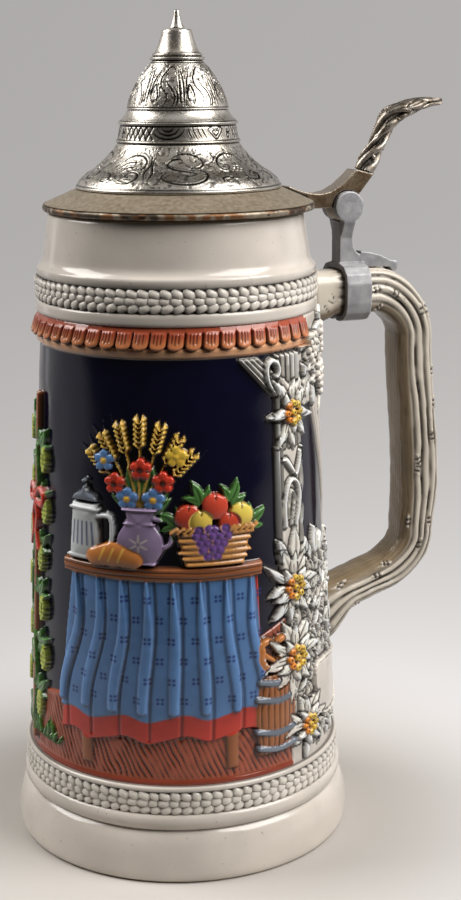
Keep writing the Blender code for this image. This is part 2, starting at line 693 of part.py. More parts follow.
def strap_edge(growth):
    """The band's edge round the handle's section, grown by some clearance and thickness."""
    half_width = HANDLE_WIDTH / 2 + growth
    half_depth = HANDLE_TOP_DEPTH / 2 + growth
    radius = HANDLE_CORNER + growth
    corners = [(1, -1, -90), (1, 1, 0), (-1, 1, 90), (-1, -1, 180)]
    points = [(half_width - radius - STRAP_CURL, -half_depth)]
    for across, up, start in corners:
        for step in range(CURVE_STEPS):
            angle = math.radians(start + 90 * step / (CURVE_STEPS - 1))
            y = across * (half_width - radius) + radius * math.cos(angle)
            z = up * (half_depth - radius) + radius * math.sin(angle)
            points.append((y, z))
    points.append((STRAP_CURL + radius - half_width, -half_depth))
    return [(y, HANDLE_TOP + z) for y, z in points]


def strap_band():
    """The band that wraps the handle, with both ends curled under it."""
    edge = strap_edge(GAP + STRAP_THICKNESS) + list(reversed(strap_edge(GAP)))
    front = PIVOT.x - POST_DEPTH / 2 - OVERSHOOT / 2
    return extruded([(front, y, z) for y, z in edge], (STRAP_LENGTH, 0.0, 0.0))


def post_plate():
    """The post's side outline: straight in front, flared behind into the tongue on the handle."""
    front = PIVOT.x - POST_DEPTH / 2
    back = PIVOT.x + POST_DEPTH / 2
    foot = STRAP_TOP - STRAP_THICKNESS
    tongue = foot + TONGUE_THICKNESS
    tongue_root = tongue + TONGUE_THICKNESS
    outline = [(front, foot + GAP), (back, foot + GAP)]
    outline.append((back + TONGUE_LENGTH - TONGUE_THICKNESS / 2, foot + GAP))
    outline.append((back + TONGUE_LENGTH, foot + TONGUE_THICKNESS / 2))
    outline.append((back + TONGUE_LENGTH - TONGUE_THICKNESS / 2, tongue))
    for step in range(CURVE_STEPS + 1):
        angle = math.pi / 2 * step / CURVE_STEPS
        x = back + POST_FLARE * (1 - math.sin(angle))
        z = tongue_root + POST_FLARE * (1 - math.cos(angle))
        outline.append((x, z))
    outline.append((back, PIVOT.z))
    outline.append((front, PIVOT.z))
    return side_plate(outline, POST_WIDTH)


def post_fork():
    """The shoulders that widen the post to the hinge's outer rings."""
    half_post = POST_WIDTH / 2
    half_hinge = HINGE_WIDTH / 2
    spread = half_hinge - half_post
    shoulder = PIVOT.z - HINGE_RADIUS
    outline = [
        (-half_post, shoulder - 2 * spread),
        (half_post, shoulder - 2 * spread),
        (half_hinge, shoulder),
        (half_hinge, PIVOT.z),
        (-half_hinge, PIVOT.z),
        (-half_hinge, shoulder),
    ]
    front = PIVOT.x - POST_DEPTH / 2 + GAP
    return extruded([(front, y, z) for y, z in outline], (POST_DEPTH - 2 * GAP, 0.0, 0.0))


def make_strap(material):
    """The pewter band on the handle, with its post and the hinge's two closed outer rings."""
    strap = mesh_object("hinge_strap", strap_band(), material)
    combine(strap, "UNION", post_plate())
    combine(strap, "UNION", post_fork())
    combine(strap, "UNION", cross_bar(HINGE_RADIUS, HINGE_WIDTH, RING_STEPS))
    combine(strap, "DIFFERENCE", cross_bar(HINGE_RADIUS + GAP, KNUCKLE_WIDTH + 2 * GAP, RING_STEPS))
    bore = HINGE_WIDTH - 2 * RING_CAP
    combine(strap, "DIFFERENCE", cross_bar(PIN_RADIUS + PIN_CLEARANCE, bore, PIN_STEPS))
    return strap


def make_pin(material):
    """The pin, inside the rings and short of their closed ends."""
    length = HINGE_WIDTH - 2 * RING_CAP - 2 * GAP
    return mesh_object("hinge_pin", cross_bar(PIN_RADIUS, length, PIN_STEPS), material)


def rim_slope():
    """How much the rim's bevel rises for each unit towards the lid's middle."""
    return RIM_RISE / (RIM_RADIUS - SKIRT_RADIUS)


def arm_outline():
    """The arm's side outline, from its tip on the rim to its head above the hinge."""
    edge = LID_OFFSET + RIM_RADIUS
    seat = edge + GAP
    tip = edge - ARM_GRIP
    tip_z = RIM_EDGE_TOP + GAP + ARM_GRIP * rim_slope() + GAP
    belly = seat + (PIVOT.x - HINGE_RADIUS - seat) / 2
    belly_z = PIVOT.z + ARM_THICKNESS - GAP
    head = PIVOT.x + ARM_HEAD / 2
    head_z = PIVOT.z + ARM_RISE
    outline = [(tip, tip_z), (tip, tip_z + ARM_TIP)]
    start = (Vector((tip, tip_z + ARM_TIP)), -math.atan(rim_slope()))
    middle = (Vector((belly, belly_z)), 0.0)
    end = (Vector((head, head_z)), ARM_LIFT)
    outline += [tuple(point) for point in smooth_between(start, middle, CURVE_STEPS)[1:]]
    outline += [tuple(point) for point in smooth_between(middle, end, CURVE_STEPS)]
    outline.append((head, head_z))
    outline.append((head + ARM_HEAD, head_z - ARM_HEAD * HEAD_SLOPE))
    outline.append((PIVOT.x + HINGE_RADIUS, PIVOT.z + ARM_THICKNESS))
    outline.append((PIVOT.x, PIVOT.z))
    outline.append((PIVOT.x - HINGE_RADIUS, PIVOT.z - GAP))
    outline.append((seat, PIVOT.z - GAP))
    outline.append((seat, RIM_EDGE_TOP + GAP + GAP))
    return outline


def make_arm(material):
    """The arm soldered to the rim, with the hinge's middle ring."""
    arm = mesh_object("lid_arm", side_plate(arm_outline(), ARM_WIDTH), material)
    web = KNUCKLE_WIDTH + GAP / 2
    for side in (-1, 1):
        middle = side * (web + ARM_WIDTH) / 2
        combine(arm, "DIFFERENCE", cross_bar(HINGE_RADIUS + GAP, ARM_WIDTH, RING_STEPS, middle))
    combine(arm, "UNION", cross_bar(HINGE_RADIUS, KNUCKLE_WIDTH, RING_STEPS))
    combine(arm, "DIFFERENCE", cross_bar(PIN_RADIUS + PIN_CLEARANCE, HINGE_WIDTH, PIN_STEPS))
    return arm


def thumb_ring(place, along, half_depth, half_width):
    """One eight-sided ring of the thumb piece, square to its path."""
    outwards = Vector((-along.y, along.x))
    ring = []
    for across, out in ((1, 0), (0.8, 0.7), (0, 1), (-0.8, 0.7), (-1, 0), (-0.8, -0.7), (0, -1), (0.8, -0.7)):
        point = place + outwards * out * half_depth
        ring.append((point.x, across * half_width, point.y))
    return ring


def make_thumblift(material):
    """The twig stem that rises from the arm and turns back as a leaf for the thumb."""
    base = Vector((PIVOT.x + STEM_SET, PIVOT.z + ARM_RISE))
    stem = Vector((math.cos(STEM_LEAN), math.sin(STEM_LEAN)))
    square = math.pi / 2 - math.atan(HEAD_SLOPE)
    drop = (STEM_SET - ARM_HEAD / 2) * HEAD_SLOPE
    foot = base + Vector((math.cos(square), math.sin(square))) * GAP - Vector((0.0, drop))
    knee = base + stem * STEM_LENGTH
    leaf = knee + Vector((LEAF_LENGTH, LEAF_RISE))
    knots = [
        (foot, square, STEM_DEPTH, STEM_WIDTH),
        (base + stem * STEM_STRAIGHT, STEM_LEAN, STEM_DEPTH, STEM_WIDTH),
        (knee, KNEE_LEAN, KNEE_DEPTH, KNEE_WIDTH),
        (knee + Vector((LEAF_BACK, LEAF_BACK_RISE)), LEAF_BACK_LEAN, LEAF_DEPTH, LEAF_WIDTH),
        (leaf, LEAF_TIP_LEAN, LEAF_TIP_DEPTH, LEAF_TIP_WIDTH),
    ]
    stations = []
    for start, end in zip(knots, knots[1:]):
        for step, place in enumerate(smooth_between(start, end, CURVE_STEPS)):
            t = step / CURVE_STEPS
            stations.append((place, start[2] + (end[2] - start[2]) * t, start[3] + (end[3] - start[3]) * t))
    stations.append((leaf, LEAF_TIP_DEPTH, LEAF_TIP_WIDTH))
    rings = []
    for index, (place, depth, width) in enumerate(stations):
        before = stations[max(index - 1, 0)][0]
        after = stations[min(index + 1, len(stations) - 1)][0]
        along = (after - before).normalized()
        if index == 0:
            along = Vector((math.cos(square), math.sin(square)))
        rings.append(thumb_ring(place, along, depth / 2, width / 2))
    return mesh_object("thumblift", lofted(rings), material)


def lid_turned(name, profile, material, closed=False, steps=LID_STEPS):
    """A turned piece of the lid, centred on the lid's own axis."""
    bm = turned(profile, steps, closed)
    bmesh.ops.translate(bm, verts=bm.verts, vec=(LID_OFFSET, 0.0, 0.0))
    return mesh_object(name, bm, material)


def make_rim(material):
    """The bevelled ring that rests on the mouth."""
    inner = SKIRT_RADIUS - RIM_THICKNESS
    slope = rim_slope()
    seat = RIM_RADIUS - RIM_SEAT
    under = RIM_EDGE_TOP + (RIM_RADIUS - seat) * slope - RIM_THICKNESS
    profile = [
        (inner, RIM_TOP),
        (SKIRT_RADIUS, RIM_TOP),
        (RIM_RADIUS - GAP, RIM_EDGE_TOP),
        (RIM_RADIUS, RIM_EDGE_TOP - GAP),
        (RIM_RADIUS, RIM_BOTTOM + RIM_EDGE / 3),
        (RIM_RADIUS - RIM_EDGE / 3, RIM_BOTTOM),
        (seat, RIM_BOTTOM),
        (seat - GAP, under),
        (inner, RIM_TOP - RIM_THICKNESS),
    ]
    return lid_turned("lid_rim", profile, material, closed=True)


def make_skirt(material):
    """The lower stamping: scroll tier, drum and plain band, hollow and open at both ends."""
    waist = ((SKIRT_RADIUS + DRUM_RADIUS) / 2 + SKIRT_SWELL, SKIRT_BOTTOM + SKIRT_WAIST)
    shoulder = BAND_RADIUS + 2 * BEAD
    outside = [(BAND_RADIUS, SKIRT_TOP), (shoulder + 2 * BEAD, BAND_BOTTOM + BEAD)]
    outside += [(DRUM_RADIUS, BAND_BOTTOM - BEAD), (DRUM_RADIUS - BEAD, BAND_BOTTOM - 3 * BEAD)]
    outside += [(DRUM_RADIUS + BEAD, DRUM_BOTTOM + 2 * BEAD), (DRUM_RADIUS + 2 * BEAD, DRUM_BOTTOM)]
    outside += bowed((DRUM_RADIUS + BEAD, DRUM_BOTTOM - BEAD), waist, -SKIRT_SWELL / 2)
    outside += bowed(waist, (SKIRT_RADIUS, SKIRT_BOTTOM), SKIRT_SWELL)
    outside.append((SKIRT_RADIUS, SKIRT_BOTTOM))
    inside = [(radius - SHELL, height) for radius, height in reversed(outside[::2] + outside[-1:])]
    return lid_turned("steeple_skirt", outside + inside, material, closed=True)


def make_dome(material):
    """The upper stamping: leaf dome, stepped ring and cone, hollow and open below."""
    outside = [(0.0, CONE_TOP), (CONE_TOP_RADIUS - BEAD, CONE_TOP)]
    outside += bowed((CONE_TOP_RADIUS, CONE_TOP - BEAD), (CONE_RADIUS, CONE_BOTTOM), -CONE_HOLLOW)
    outside += [(CONE_RADIUS, CONE_BOTTOM), (STEP_RADIUS - BEAD, CONE_BOTTOM - BEAD)]
    outside += [(STEP_RADIUS, CONE_BOTTOM - STEP_HEIGHT / 2), (STEP_RADIUS - BEAD, STEP_BOTTOM)]
    outside += bowed((STEP_RADIUS, STEP_BOTTOM - BEAD), (BAND_RADIUS, DOME_BOTTOM + BEAD), DOME_SWELL)
    outside += [(BAND_RADIUS, DOME_BOTTOM + BEAD), (BAND_RADIUS, DOME_BOTTOM)]
    inside = [(BAND_RADIUS - SHELL, DOME_BOTTOM)]
    inner_dome = bowed((STEP_RADIUS - SHELL, STEP_BOTTOM), (BAND_RADIUS - SHELL, DOME_BOTTOM), DOME_SWELL)
    inside += list(reversed(inner_dome))
    inside += [(CONE_TOP_RADIUS - SHELL - BEAD, CONE_BOTTOM), (CONE_TOP_RADIUS - 2 * SHELL, CONE_TOP - SHELL)]
    inside.append((0.0, CONE_TOP - SHELL))
    return lid_turned("steeple_dome", outside + inside, material)


def make_finial(material):
    """The slim turned point on top of the steeple."""
    top = FINIAL_BOTTOM + FINIAL_HEIGHT
    profile = [(0.0, top), (FINIAL_TIP_RADIUS, top)]
    profile += bowed((FINIAL_TIP_RADIUS, top), (FINIAL_RADIUS, FINIAL_BOTTOM), -BEAD / 2)[1:]
    profile += [(FINIAL_RADIUS, FINIAL_BOTTOM), (0.0, FINIAL_BOTTOM)]
    return lid_turned("lid_finial", profile, material, steps=FINIAL_STEPS)


def hang_on_hinge(pieces):
    """Give the lid's pieces an origin on the hinge axis."""
    axis = bpy.data.objects.new("lid_hinge_axis", None)
    axis.location = PIVOT
    bpy.context.collection.objects.link(axis)
    for piece in pieces:
        piece.data.transform(Matrix.Translation(-PIVOT))
        piece.parent = axis


def main():
    """Build every piece of the stein."""
    clear_scene()
    glaze = finish("ivory_salt_glaze", (0.78, 0.73, 0.64), 0.25, 0.0)
    bark = finish("bark_glaze", (0.70, 0.64, 0.54), 0.30, 0.0)
    zinc = finish("grey_pewter", (0.46, 0.47, 0.50), 0.50, 1.0)
    steel = finish("pin_steel", (0.55, 0.54, 0.52), 0.35, 1.0)
    beige = finish("worn_pewter", (0.46, 0.42, 0.36), 0.45, 1.0)
    bronze = finish("antique_pewter", (0.24, 0.20, 0.14), 0.40, 1.0)
    silver = finish("bright_pewter", (0.72, 0.71, 0.68), 0.22, 1.0)
    make_body(glaze)
    make_handle(bark)
    make_strap(zinc)
    make_pin(steel)
    lid = [make_arm(bronze), make_thumblift(bronze), make_rim(beige)]
    lid += [make_skirt(silver), make_dome(silver), make_finial(silver)]
    hang_on_hinge(lid)


main()
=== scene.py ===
"""Glazed stoneware, painted relief and pewter for a lidded stein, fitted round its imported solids.

Drawings and sizes are in millimetres. Meshes are in metres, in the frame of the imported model.
"""

import logging
import math
from dataclasses import dataclass
from enum import Enum

import bmesh
import bpy
import numpy as np
from bpy.types import ID, Material, Mesh, Node, NodeSocket, NodeTree, Object
from mathutils import Matrix, Vector


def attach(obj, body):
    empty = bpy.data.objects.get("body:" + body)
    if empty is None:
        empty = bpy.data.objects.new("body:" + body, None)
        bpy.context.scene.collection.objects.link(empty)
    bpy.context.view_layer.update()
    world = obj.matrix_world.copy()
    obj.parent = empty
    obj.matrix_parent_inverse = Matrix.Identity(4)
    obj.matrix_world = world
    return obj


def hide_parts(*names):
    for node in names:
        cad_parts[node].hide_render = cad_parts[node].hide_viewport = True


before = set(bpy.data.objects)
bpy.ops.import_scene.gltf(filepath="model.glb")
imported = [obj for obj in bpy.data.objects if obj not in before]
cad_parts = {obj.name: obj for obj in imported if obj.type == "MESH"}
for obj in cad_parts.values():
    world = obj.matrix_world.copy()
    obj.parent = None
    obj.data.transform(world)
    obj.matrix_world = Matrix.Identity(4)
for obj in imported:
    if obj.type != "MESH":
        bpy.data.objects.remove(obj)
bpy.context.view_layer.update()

Array = np.ndarray
Points = Array | list | tuple
LOG = logging.getLogger("stein")
MM = 0.001
TINY = 1e-9
FAR = 1e3
IMAGE_HEIGHT = 900
SENSOR = 36.0
PHOTO_TURN = math.radians(20.0)
# Where the lid's own axis stands along X: a little towards the hinge.
LID_AXIS = 1.2
# Distance at which two points of a mesh count as one, and the length of an edge that is dropped.
JOIN_GAP, SLIVER = 0.002, 0.001
# Inputs of a Map Range node, in the order in which finishes give their spans.
SPAN = ("From Min", "From Max", "To Min", "To Max")
# Middle line of a round dot: too short to show as a line.
DOT = ((0, 0), (0.02, 0))
# The dark line round a strand: its slope as a share of its width, its depth and its darkness.
LINE_SLOPE, LINE_DEPTH, LINE_INK = 0.4, 0.1, 0.95
# The fold along a strand: its reach as a share of the half width, and its depth.
FOLD_REACH, FOLD_DEPTH = 0.2, 0.45
# Wash starts to show in a hollow past this share of its full depth.
DRY_SHARE = 0.15
# Tones of the brushed paint with its painted highlight and shade, and the brightest that it may become.
BRUSH_AND_SHADE_TONES, BRUSH_AND_SHADE_LIMIT = (0.4, 1.5), 0.9


def linear(colour: str) -> tuple[float, ...]:
    """Turn an sRGB hex colour into linear red, green and blue from 0 to 1."""
    parts = (int(colour[start:start + 2], 16) / 255 for start in (1, 3, 5))
    return tuple(p / 12.92 if p <= 0.04045 else ((p + 0.055) / 1.055) ** 2.4 for p in parts)


def smooth(share: Array) -> Array:
    """Ease a share from 0 to 1 in and out."""
    share = np.clip(share, 0.0, 1.0)
    return share * share * (3 - 2 * share)


def smooth_path(points: Points, steps: int = 8, closed: bool = False) -> Array:
    """Draw a smooth line through points.

    Args:
        points: places (u, v).
        steps: lines between two points.
        closed: whether the last point leads back to the first.

    Returns:
        Points along the line, one row each.
    """
    knots = np.asarray(points, float)
    if closed:
        knots = np.concatenate([knots[-1:], knots, knots[:2]])
    else:
        knots = np.concatenate([2 * knots[:1] - knots[1:2], knots, 2 * knots[-1:] - knots[-2:-1]])
    share = (np.arange(steps) / steps)[:, None]
    line = []
    for before, start, end, after in zip(knots, knots[1:], knots[2:], knots[3:]):
        bend = 2 * before - 5 * start + 4 * end - after
        twist = 3 * start - before - 3 * end + after
        line.append(start + 0.5 * share * ((end - before) + share * (bend + share * twist)))
    if not closed:
        line.append(knots[-2:-1])
    return np.concatenate(line)


def way(line: Array) -> Array:
    """Measure how far along a line each of its points lies."""
    return np.concatenate([[0.0], np.cumsum(np.hypot(*np.diff(line, axis=0).T))])


def evenly(line: Array, step: float) -> Array:
    """Place points evenly along a line.

    Args:
        line: points of the line.
        step: distance between the new points.

    Returns:
        The new points.
    """
    run = way(line)
    stops = np.linspace(0, run[-1], max(2, int(round(run[-1] / step)) + 1))
    return np.stack([np.interp(stops, run, line[:, 0]), np.interp(stops, run, line[:, 1])], 1)


def around(count: int) -> Array:
    """Share a full turn into equal angles."""
    return np.arange(count) / count * math.tau


def soft_noise(shape: tuple[int, int], knots: tuple[int, int], seed: int) -> Array:
    """Make smooth unevenness that joins at the side edges.

    Args:
        shape: rows and columns of the grid.
        knots: swells along the rows and the columns.
        seed: fixed start of the draw.

    Returns:
        Values from -1 to 1.
    """
    values = np.random.default_rng(seed).uniform(-1, 1, (knots[0] + 1, knots[1]))
    values = np.concatenate([values, values[:, :1]], 1)
    rows, columns = (np.linspace(0, k, size, endpoint=False) for k, size in zip(knots, shape))
    row, column = rows.astype(int), columns.astype(int)
    up = smooth(rows - row)[:, None]
    along = smooth(columns - column)[None, :]
    low, high = (values[np.ix_(at, column)] * (1 - along) + values[np.ix_(at, column + 1)] * along
                 for at in (row, row + 1))
    return low * (1 - up) + high * up


def blurred(grid: Array, reach: float) -> Array:
    """Soften a grid that joins at its side edges.

    Args:
        grid: values to soften.
        reach: spread, in cells.

    Returns:
        The softened values.
    """
    pad = int(4 * reach) + 1
    tall = np.pad(grid, ((pad, pad), (0, 0)), mode="edge")
    rows = np.fft.fftfreq(tall.shape[0])[:, None]
    columns = np.fft.rfftfreq(tall.shape[1])[None, :]
    keep = np.exp(-2 * (math.pi * reach) ** 2 * (rows ** 2 + columns ** 2))
    return np.fft.irfft2(np.fft.rfft2(tall) * keep, tall.shape)[pad:-pad]


class Coat(Enum):
    """Paints of the relief: colour, and how much dark wash stays in its hollows."""

    IVORY = ("#D6CDC3", 1.0)
    CREAM = ("#E8E0D5", 1.0)
    COBALT = ("#080722", 0.1)
    TERRACOTTA = ("#A9553A", 0.8)
    SKIRTING = ("#8C3E2C", 0.5)
    # Peach of the lip under the shingles, lifted above the clay's own tone as painted light.
    PEACH = ("#FFB98A", 0.1)
    # Painted shade: the bed behind the shingles and their backs; it is also the dark eye of a red poppy.
    SHADE = ("#47190F", 0.3)
    CLOTH = ("#5C83B6", 0.6)
    PRINT = ("#22316F", 0.2)
    RED = ("#BF3A2B", 0.6)
    WOOD = ("#8B5230", 0.8)
    OAK = ("#A06238", 0.8)
    HOOP = ("#6A717C", 0.7)
    STONE = ("#C8CCCD", 0.8)
    LILAC = ("#93809F", 0.7)
    WHEAT = ("#DDB052", 0.8)
    POPPY = ("#C63D2A", 0.7)
    LEAF = ("#4E7C3C", 0.8)
    WICKER = ("#BC8448", 0.9)
    GRAPE = ("#6C4B8A", 0.7)
    APPLE = ("#BC4430", 0.5)
    PEAR = ("#DDBF55", 0.6)
    CRUST = ("#B9753D", 0.7)
    HOP = ("#AEB957", 0.8)
    YELLOW = ("#E9B241", 0.7)
    ORANGE = ("#DB8128", 0.7)
    BRASS = ("#C99D42", 0.7)
    TILE = ("#A94F35", 0.8)
    RIM = ("#C97D50", 0.6)
    BARK = ("#DBD1C2", 0.9)
    # Tan of the handle's inner face: partly its own colour, partly painted shade.
    TAN = ("#8E7C63", 0.8)
    BUFF = ("#BFAE94", 0.3)
    METAL = ("#FFFFFF", 1.0)

    @property
    def colour(self) -> Array:
        """The paint in linear light."""
        return np.array(linear(self.value[0]))

    @property
    def hold(self) -> float:
        """The share of dark wash that its hollows keep."""
        return self.value[1]


class Relief:
    """A moulded and painted surface on a grid of places across (u) and along (v)."""

    def __init__(self, us: Array, vs: Array, coat: Coat) -> None:
        """Start a flat surface in one paint.

        Args:
            us: places across.
            vs: places along.
            coat: paint of the ground.
        """
        shape = (vs.size, us.size)
        self.us, self.vs = us, vs
        self.cell = float(us[1] - us[0])
        self.girth = float(us[-1]) + self.cell
        self.height = np.zeros(shape)
        self.ink = np.zeros(shape)
        self.hold = np.full(shape, coat.hold)
        self.paint = np.tile(coat.colour, shape + (1,))

    def window(self, points: Array, margin: float) -> tuple:
        """Find the cells round some points.

        Args:
            points: places on the surface.
            margin: room round them.

        Returns:
            Slices of rows and columns, and the places across and along of their cells.
        """
        low, high = points.min(0) - margin, points.max(0) + margin
        columns = slice(*np.searchsorted(self.us, (low[0], high[0])))
        rows = slice(*np.searchsorted(self.vs, (low[1], high[1])))
        return (rows, columns), *np.meshgrid(self.us[columns], self.vs[rows])

    def cover(self, depth: Array) -> Array:
        """Find the share of each cell that lies inside an outline."""
        return np.clip(depth / self.cell + 0.5, 0, 1)

    def tint(self, area: tuple, coat: Coat, cover: Array) -> None:
        """Paint part of the surface."""
        self.paint[area] += (coat.colour - self.paint[area]) * cover[..., None]

    def darken(self, ink: Array, area: tuple = (...,)) -> None:
        """Leave dark wash, and in places painted shade, on part of the surface, where there is less of it."""
        self.ink[area] = np.maximum(self.ink[area], ink)

    def lay(self, area: tuple, depth: Array, top: Array, coat: Coat, edge: float) -> None:
        """Lay a moulded form over what is there.

        Args:
            area: slices of rows and columns.
            depth: distance inside the form's outline.
            top: height of the form.
            coat: its paint.
            edge: width of the slope at its border.
        """
        cover = self.cover(depth)
        self.height[area] += (top - self.height[area]) * smooth(depth / edge)
        self.tint(area, coat, cover)
        self.hold[area] += (coat.hold - self.hold[area]) * cover
        self.ink[area] *= 1 - cover

    @staticmethod
    def nearest(u: Array, v: Array, start: Array, step: Array) -> tuple[Array, Array]:
        """Find the nearest place on a straight line to each cell.

        Args:
            u: places across of the cells.
            v: their places along.
            start: where the line starts.
            step: the way from there to its end.

        Returns:
            The share of the line before that place, and the distance to it.
        """
        share = (u - start[0]) * step[0] + (v - start[1]) * step[1]
        share = np.clip(share / max(step @ step, TINY), 0, 1)
        return share, np.hypot(u - start[0] - share * step[0], v - start[1] - share * step[1])

    def strand(self, path: Array, widths: Array) -> tuple[tuple, Array, Array]:
        """Measure the cells near a line of varying width.

        Args:
            path: places along the line.
            widths: half widths spread evenly along it.

        Returns:
            The area's slices, the depth inside the strand and its half width there.
        """
        halves = np.interp(np.linspace(0, 1, len(path)), np.linspace(0, 1, widths.size), widths)
        area, u, v = self.window(path, halves.max() + self.cell)
        depth, half = np.full(u.shape, -FAR), np.ones(u.shape)
        for start, end, first, last in zip(path, path[1:], halves, halves[1:]):
            share, away = self.nearest(u, v, start, end - start)
            width = first + (last - first) * share
            half = np.where(width - away > depth, width, half)
            depth = np.maximum(width - away, depth)
        return area, depth, np.maximum(half, 0.05)

    def comb(self, mask: Array, lean: float, pitch: float, deep: float, ink: float, seed: int) -> None:
        """Drag a comb over part of the surface.

        Args:
            mask: share of each cell that is combed.
            lean: angle across the lines, in radians.
            pitch: distance between lines.
            deep: their depth.
            ink: darkness of the wash in them.
            seed: fixed start of their unevenness.
        """
        u, v = np.meshgrid(self.us, self.vs)
        sway = soft_noise(u.shape, (26, 60), seed)
        broken = soft_noise(u.shape, (34, 130), seed + 1)
        wave = np.cos(math.tau * ((u * math.cos(lean) + v * math.sin(lean)) / pitch + 0.4 * sway))
        line = np.clip((wave - 0.35) / 0.5, 0, 1) * np.clip(0.75 + 0.7 * broken, 0, 1) * mask
        self.height -= deep * line
        self.darken(ink * line)

    def wash(self, reach: float, depth: float) -> Array:
        """Let dark wash settle where the surface lies below its surroundings.

        Args:
            reach: how far round a hollow counts.
            depth: depth that fills it with wash.

        Returns:
            Darkness of each cell, from 0 to 1.
        """
        pooled = (blurred(self.height, reach / self.cell) - self.height) / depth
        fine = (blurred(self.height, 0.35 * reach / self.cell) - self.height) / (0.5 * depth)
        pool = np.clip(np.maximum(pooled, fine) - DRY_SHARE, 0, 1)
        return np.clip(np.maximum(self.ink, self.hold * pool), 0, 1)

    def brush(self, reach: float, strength: float, seed: int) -> None:
        """Lighten the paint over swells and darken it in hollows: partly paint lying thin and thick as a
        brush leaves it, partly painted highlight and painted shade.

        Args:
            reach: how far round a swell counts.
            strength: change of tone for each millimetre of height.
            seed: fixed start of the strokes' unevenness.
        """
        # Painted highlight over the swells and painted shade in the hollows, with uneven strokes.
        swell = np.clip(self.height - blurred(self.height, reach / self.cell), -0.8, 0.8)
        strokes = 0.07 * soft_noise(self.height.shape, (70, 110), seed)
        self.paint *= np.clip(1 + strength * swell + strokes, *BRUSH_AND_SHADE_TONES)[..., None]
        self.paint = np.clip(self.paint, 0, BRUSH_AND_SHADE_LIMIT)


@dataclass(frozen=True)
class Pen:
    """A place on a relief where a motif is drawn, with the motif's size, turn and hand."""

    relief: Relief
    u: float = 0.0
    v: float = 0.0
    size: float = 1.0
    turn: float = 0.0
    flip: int = 1

    def put(self, points: Points) -> Array:
        """Move a motif's own points to this place.

        Args:
            points: places in the motif.

        Returns:
            The places on the relief.
        """
        placed = np.array(points, float).reshape(-1, 2) * self.size
        placed[:, 0] *= self.flip
        across, along = math.cos(self.turn), math.sin(self.turn)
        return placed @ np.array([[across, along], [-along, across]]) + (self.u, self.v)

    def at(self, u: float, v: float, size: float = 1.0, turn: float = 0.0, flip: int = 1) -> "Pen":
        """Move on to the place of a smaller motif within this one."""
        place = self.put([(u, v)])[0]
        return Pen(self.relief, *place, self.size * size, self.turn + self.flip * turn, self.flip * flip)

    def ridge(self, points: Points, widths: float | tuple, level: float, rise: float, coat: Coat,
              crease: float = 0.0, line: float = 0.0) -> None:
        """Lay a rounded strand, such as a stem, petal or twig.

        Args:
            points: places along its middle.
            widths: half widths along it.
            level: height of its border.
            rise: how far its middle stands above the border.
            coat: its paint.
            crease: darkness of a fold along its middle.
            line: width of the dark line that the wash leaves round it.
        """
        surface, path = self.relief, self.put(points)
        widths = np.atleast_1d(widths) * self.size
        if line:
            area, depth, _ = surface.strand(path, widths + line)
            share = smooth(depth / (LINE_SLOPE * line))
            surface.height[area] -= LINE_DEPTH * share
            surface.darken(LINE_INK * share, area)
        area, depth, half = surface.strand(path, widths)
        off = np.clip(1 - depth / half, 0, 1)
        fold = crease * np.exp(-((off / FOLD_REACH) ** 2)) * (depth > 0)
        top = level + rise * np.sqrt(1 - off ** 2) - FOLD_DEPTH * fold
        surface.lay(area, depth, top, coat, 1.5 * surface.cell)
        surface.darken(fold, area)

    def bead(self, radius: float, level: float, rise: float, coat: Coat, line: float = 0.0) -> None:
        """Lay a round bead here."""
        self.ridge(DOT, radius, level, rise, coat, line=line)

    def form(self, points: Points, level: float, coat: Coat, dome: float = 0.0, edge: float = 0.6) -> None:
        """Lay a form with a drawn outline.

        Args:
            points: places round it.
            level: height at its border.
            coat: its paint.
            dome: how far its middle swells.
            edge: width of the slope at its border.
        """
        surface, outline = self.relief, self.put(points)
        area, u, v = surface.window(outline, surface.cell)
        near = np.full(u.shape, FAR)
        inside = np.zeros(u.shape, bool)
        for start, end in zip(outline, np.roll(outline, -1, 0)):
            step = end - start
            near = np.minimum(near, surface.nearest(u, v, start, step)[1])
            slope = step[0] / step[1] if abs(step[1]) > TINY else 0.0
            inside ^= ((start[1] > v) != (end[1] > v)) & (u < start[0] + (v - start[1]) * slope)
        depth = np.where(inside, near, -near)
        reach = max(near[inside].max(initial=0.0), surface.cell)
        swell = dome * (1 - (1 - np.clip(depth / reach, 0, 1)) ** 2)
        surface.lay(area, depth, level + swell, coat, edge)

    def cut(self, points: Points, widths: float | tuple, deep: float, ink: float) -> None:
        """Cut a groove with dark wash in it.

        Args:
            points: places along it.
            widths: half widths along it.
            deep: its depth.
            ink: darkness of the wash.
        """
        area, depth, half = self.relief.strand(self.put(points), np.atleast_1d(widths) * self.size)
        share = smooth(1.5 * depth / half)
        self.relief.height[area] -= deep * share
        self.relief.darken(ink * share, area)

    def stain(self, points: Points, widths: float | tuple, coat: Coat, strength: float) -> None:
        """Paint a line without moulding it, as wide on a small motif as on a big one."""
        area, depth, _ = self.relief.strand(self.put(points), np.atleast_1d(widths))
        self.relief.tint(area, coat, strength * self.relief.cover(depth))


def merge(mesh: Mesh) -> None:
    """Join points of a mesh that lie on each other, and drop slivers.

    Args:
        mesh: the mesh.
    """
    bm = bmesh.new()
    bm.from_mesh(mesh)
    bmesh.ops.remove_doubles(bm, verts=bm.verts, dist=JOIN_GAP * MM)
    bmesh.ops.dissolve_degenerate(bm, edges=bm.edges, dist=SLIVER * MM)
    bm.to_mesh(mesh)
    bm.free()


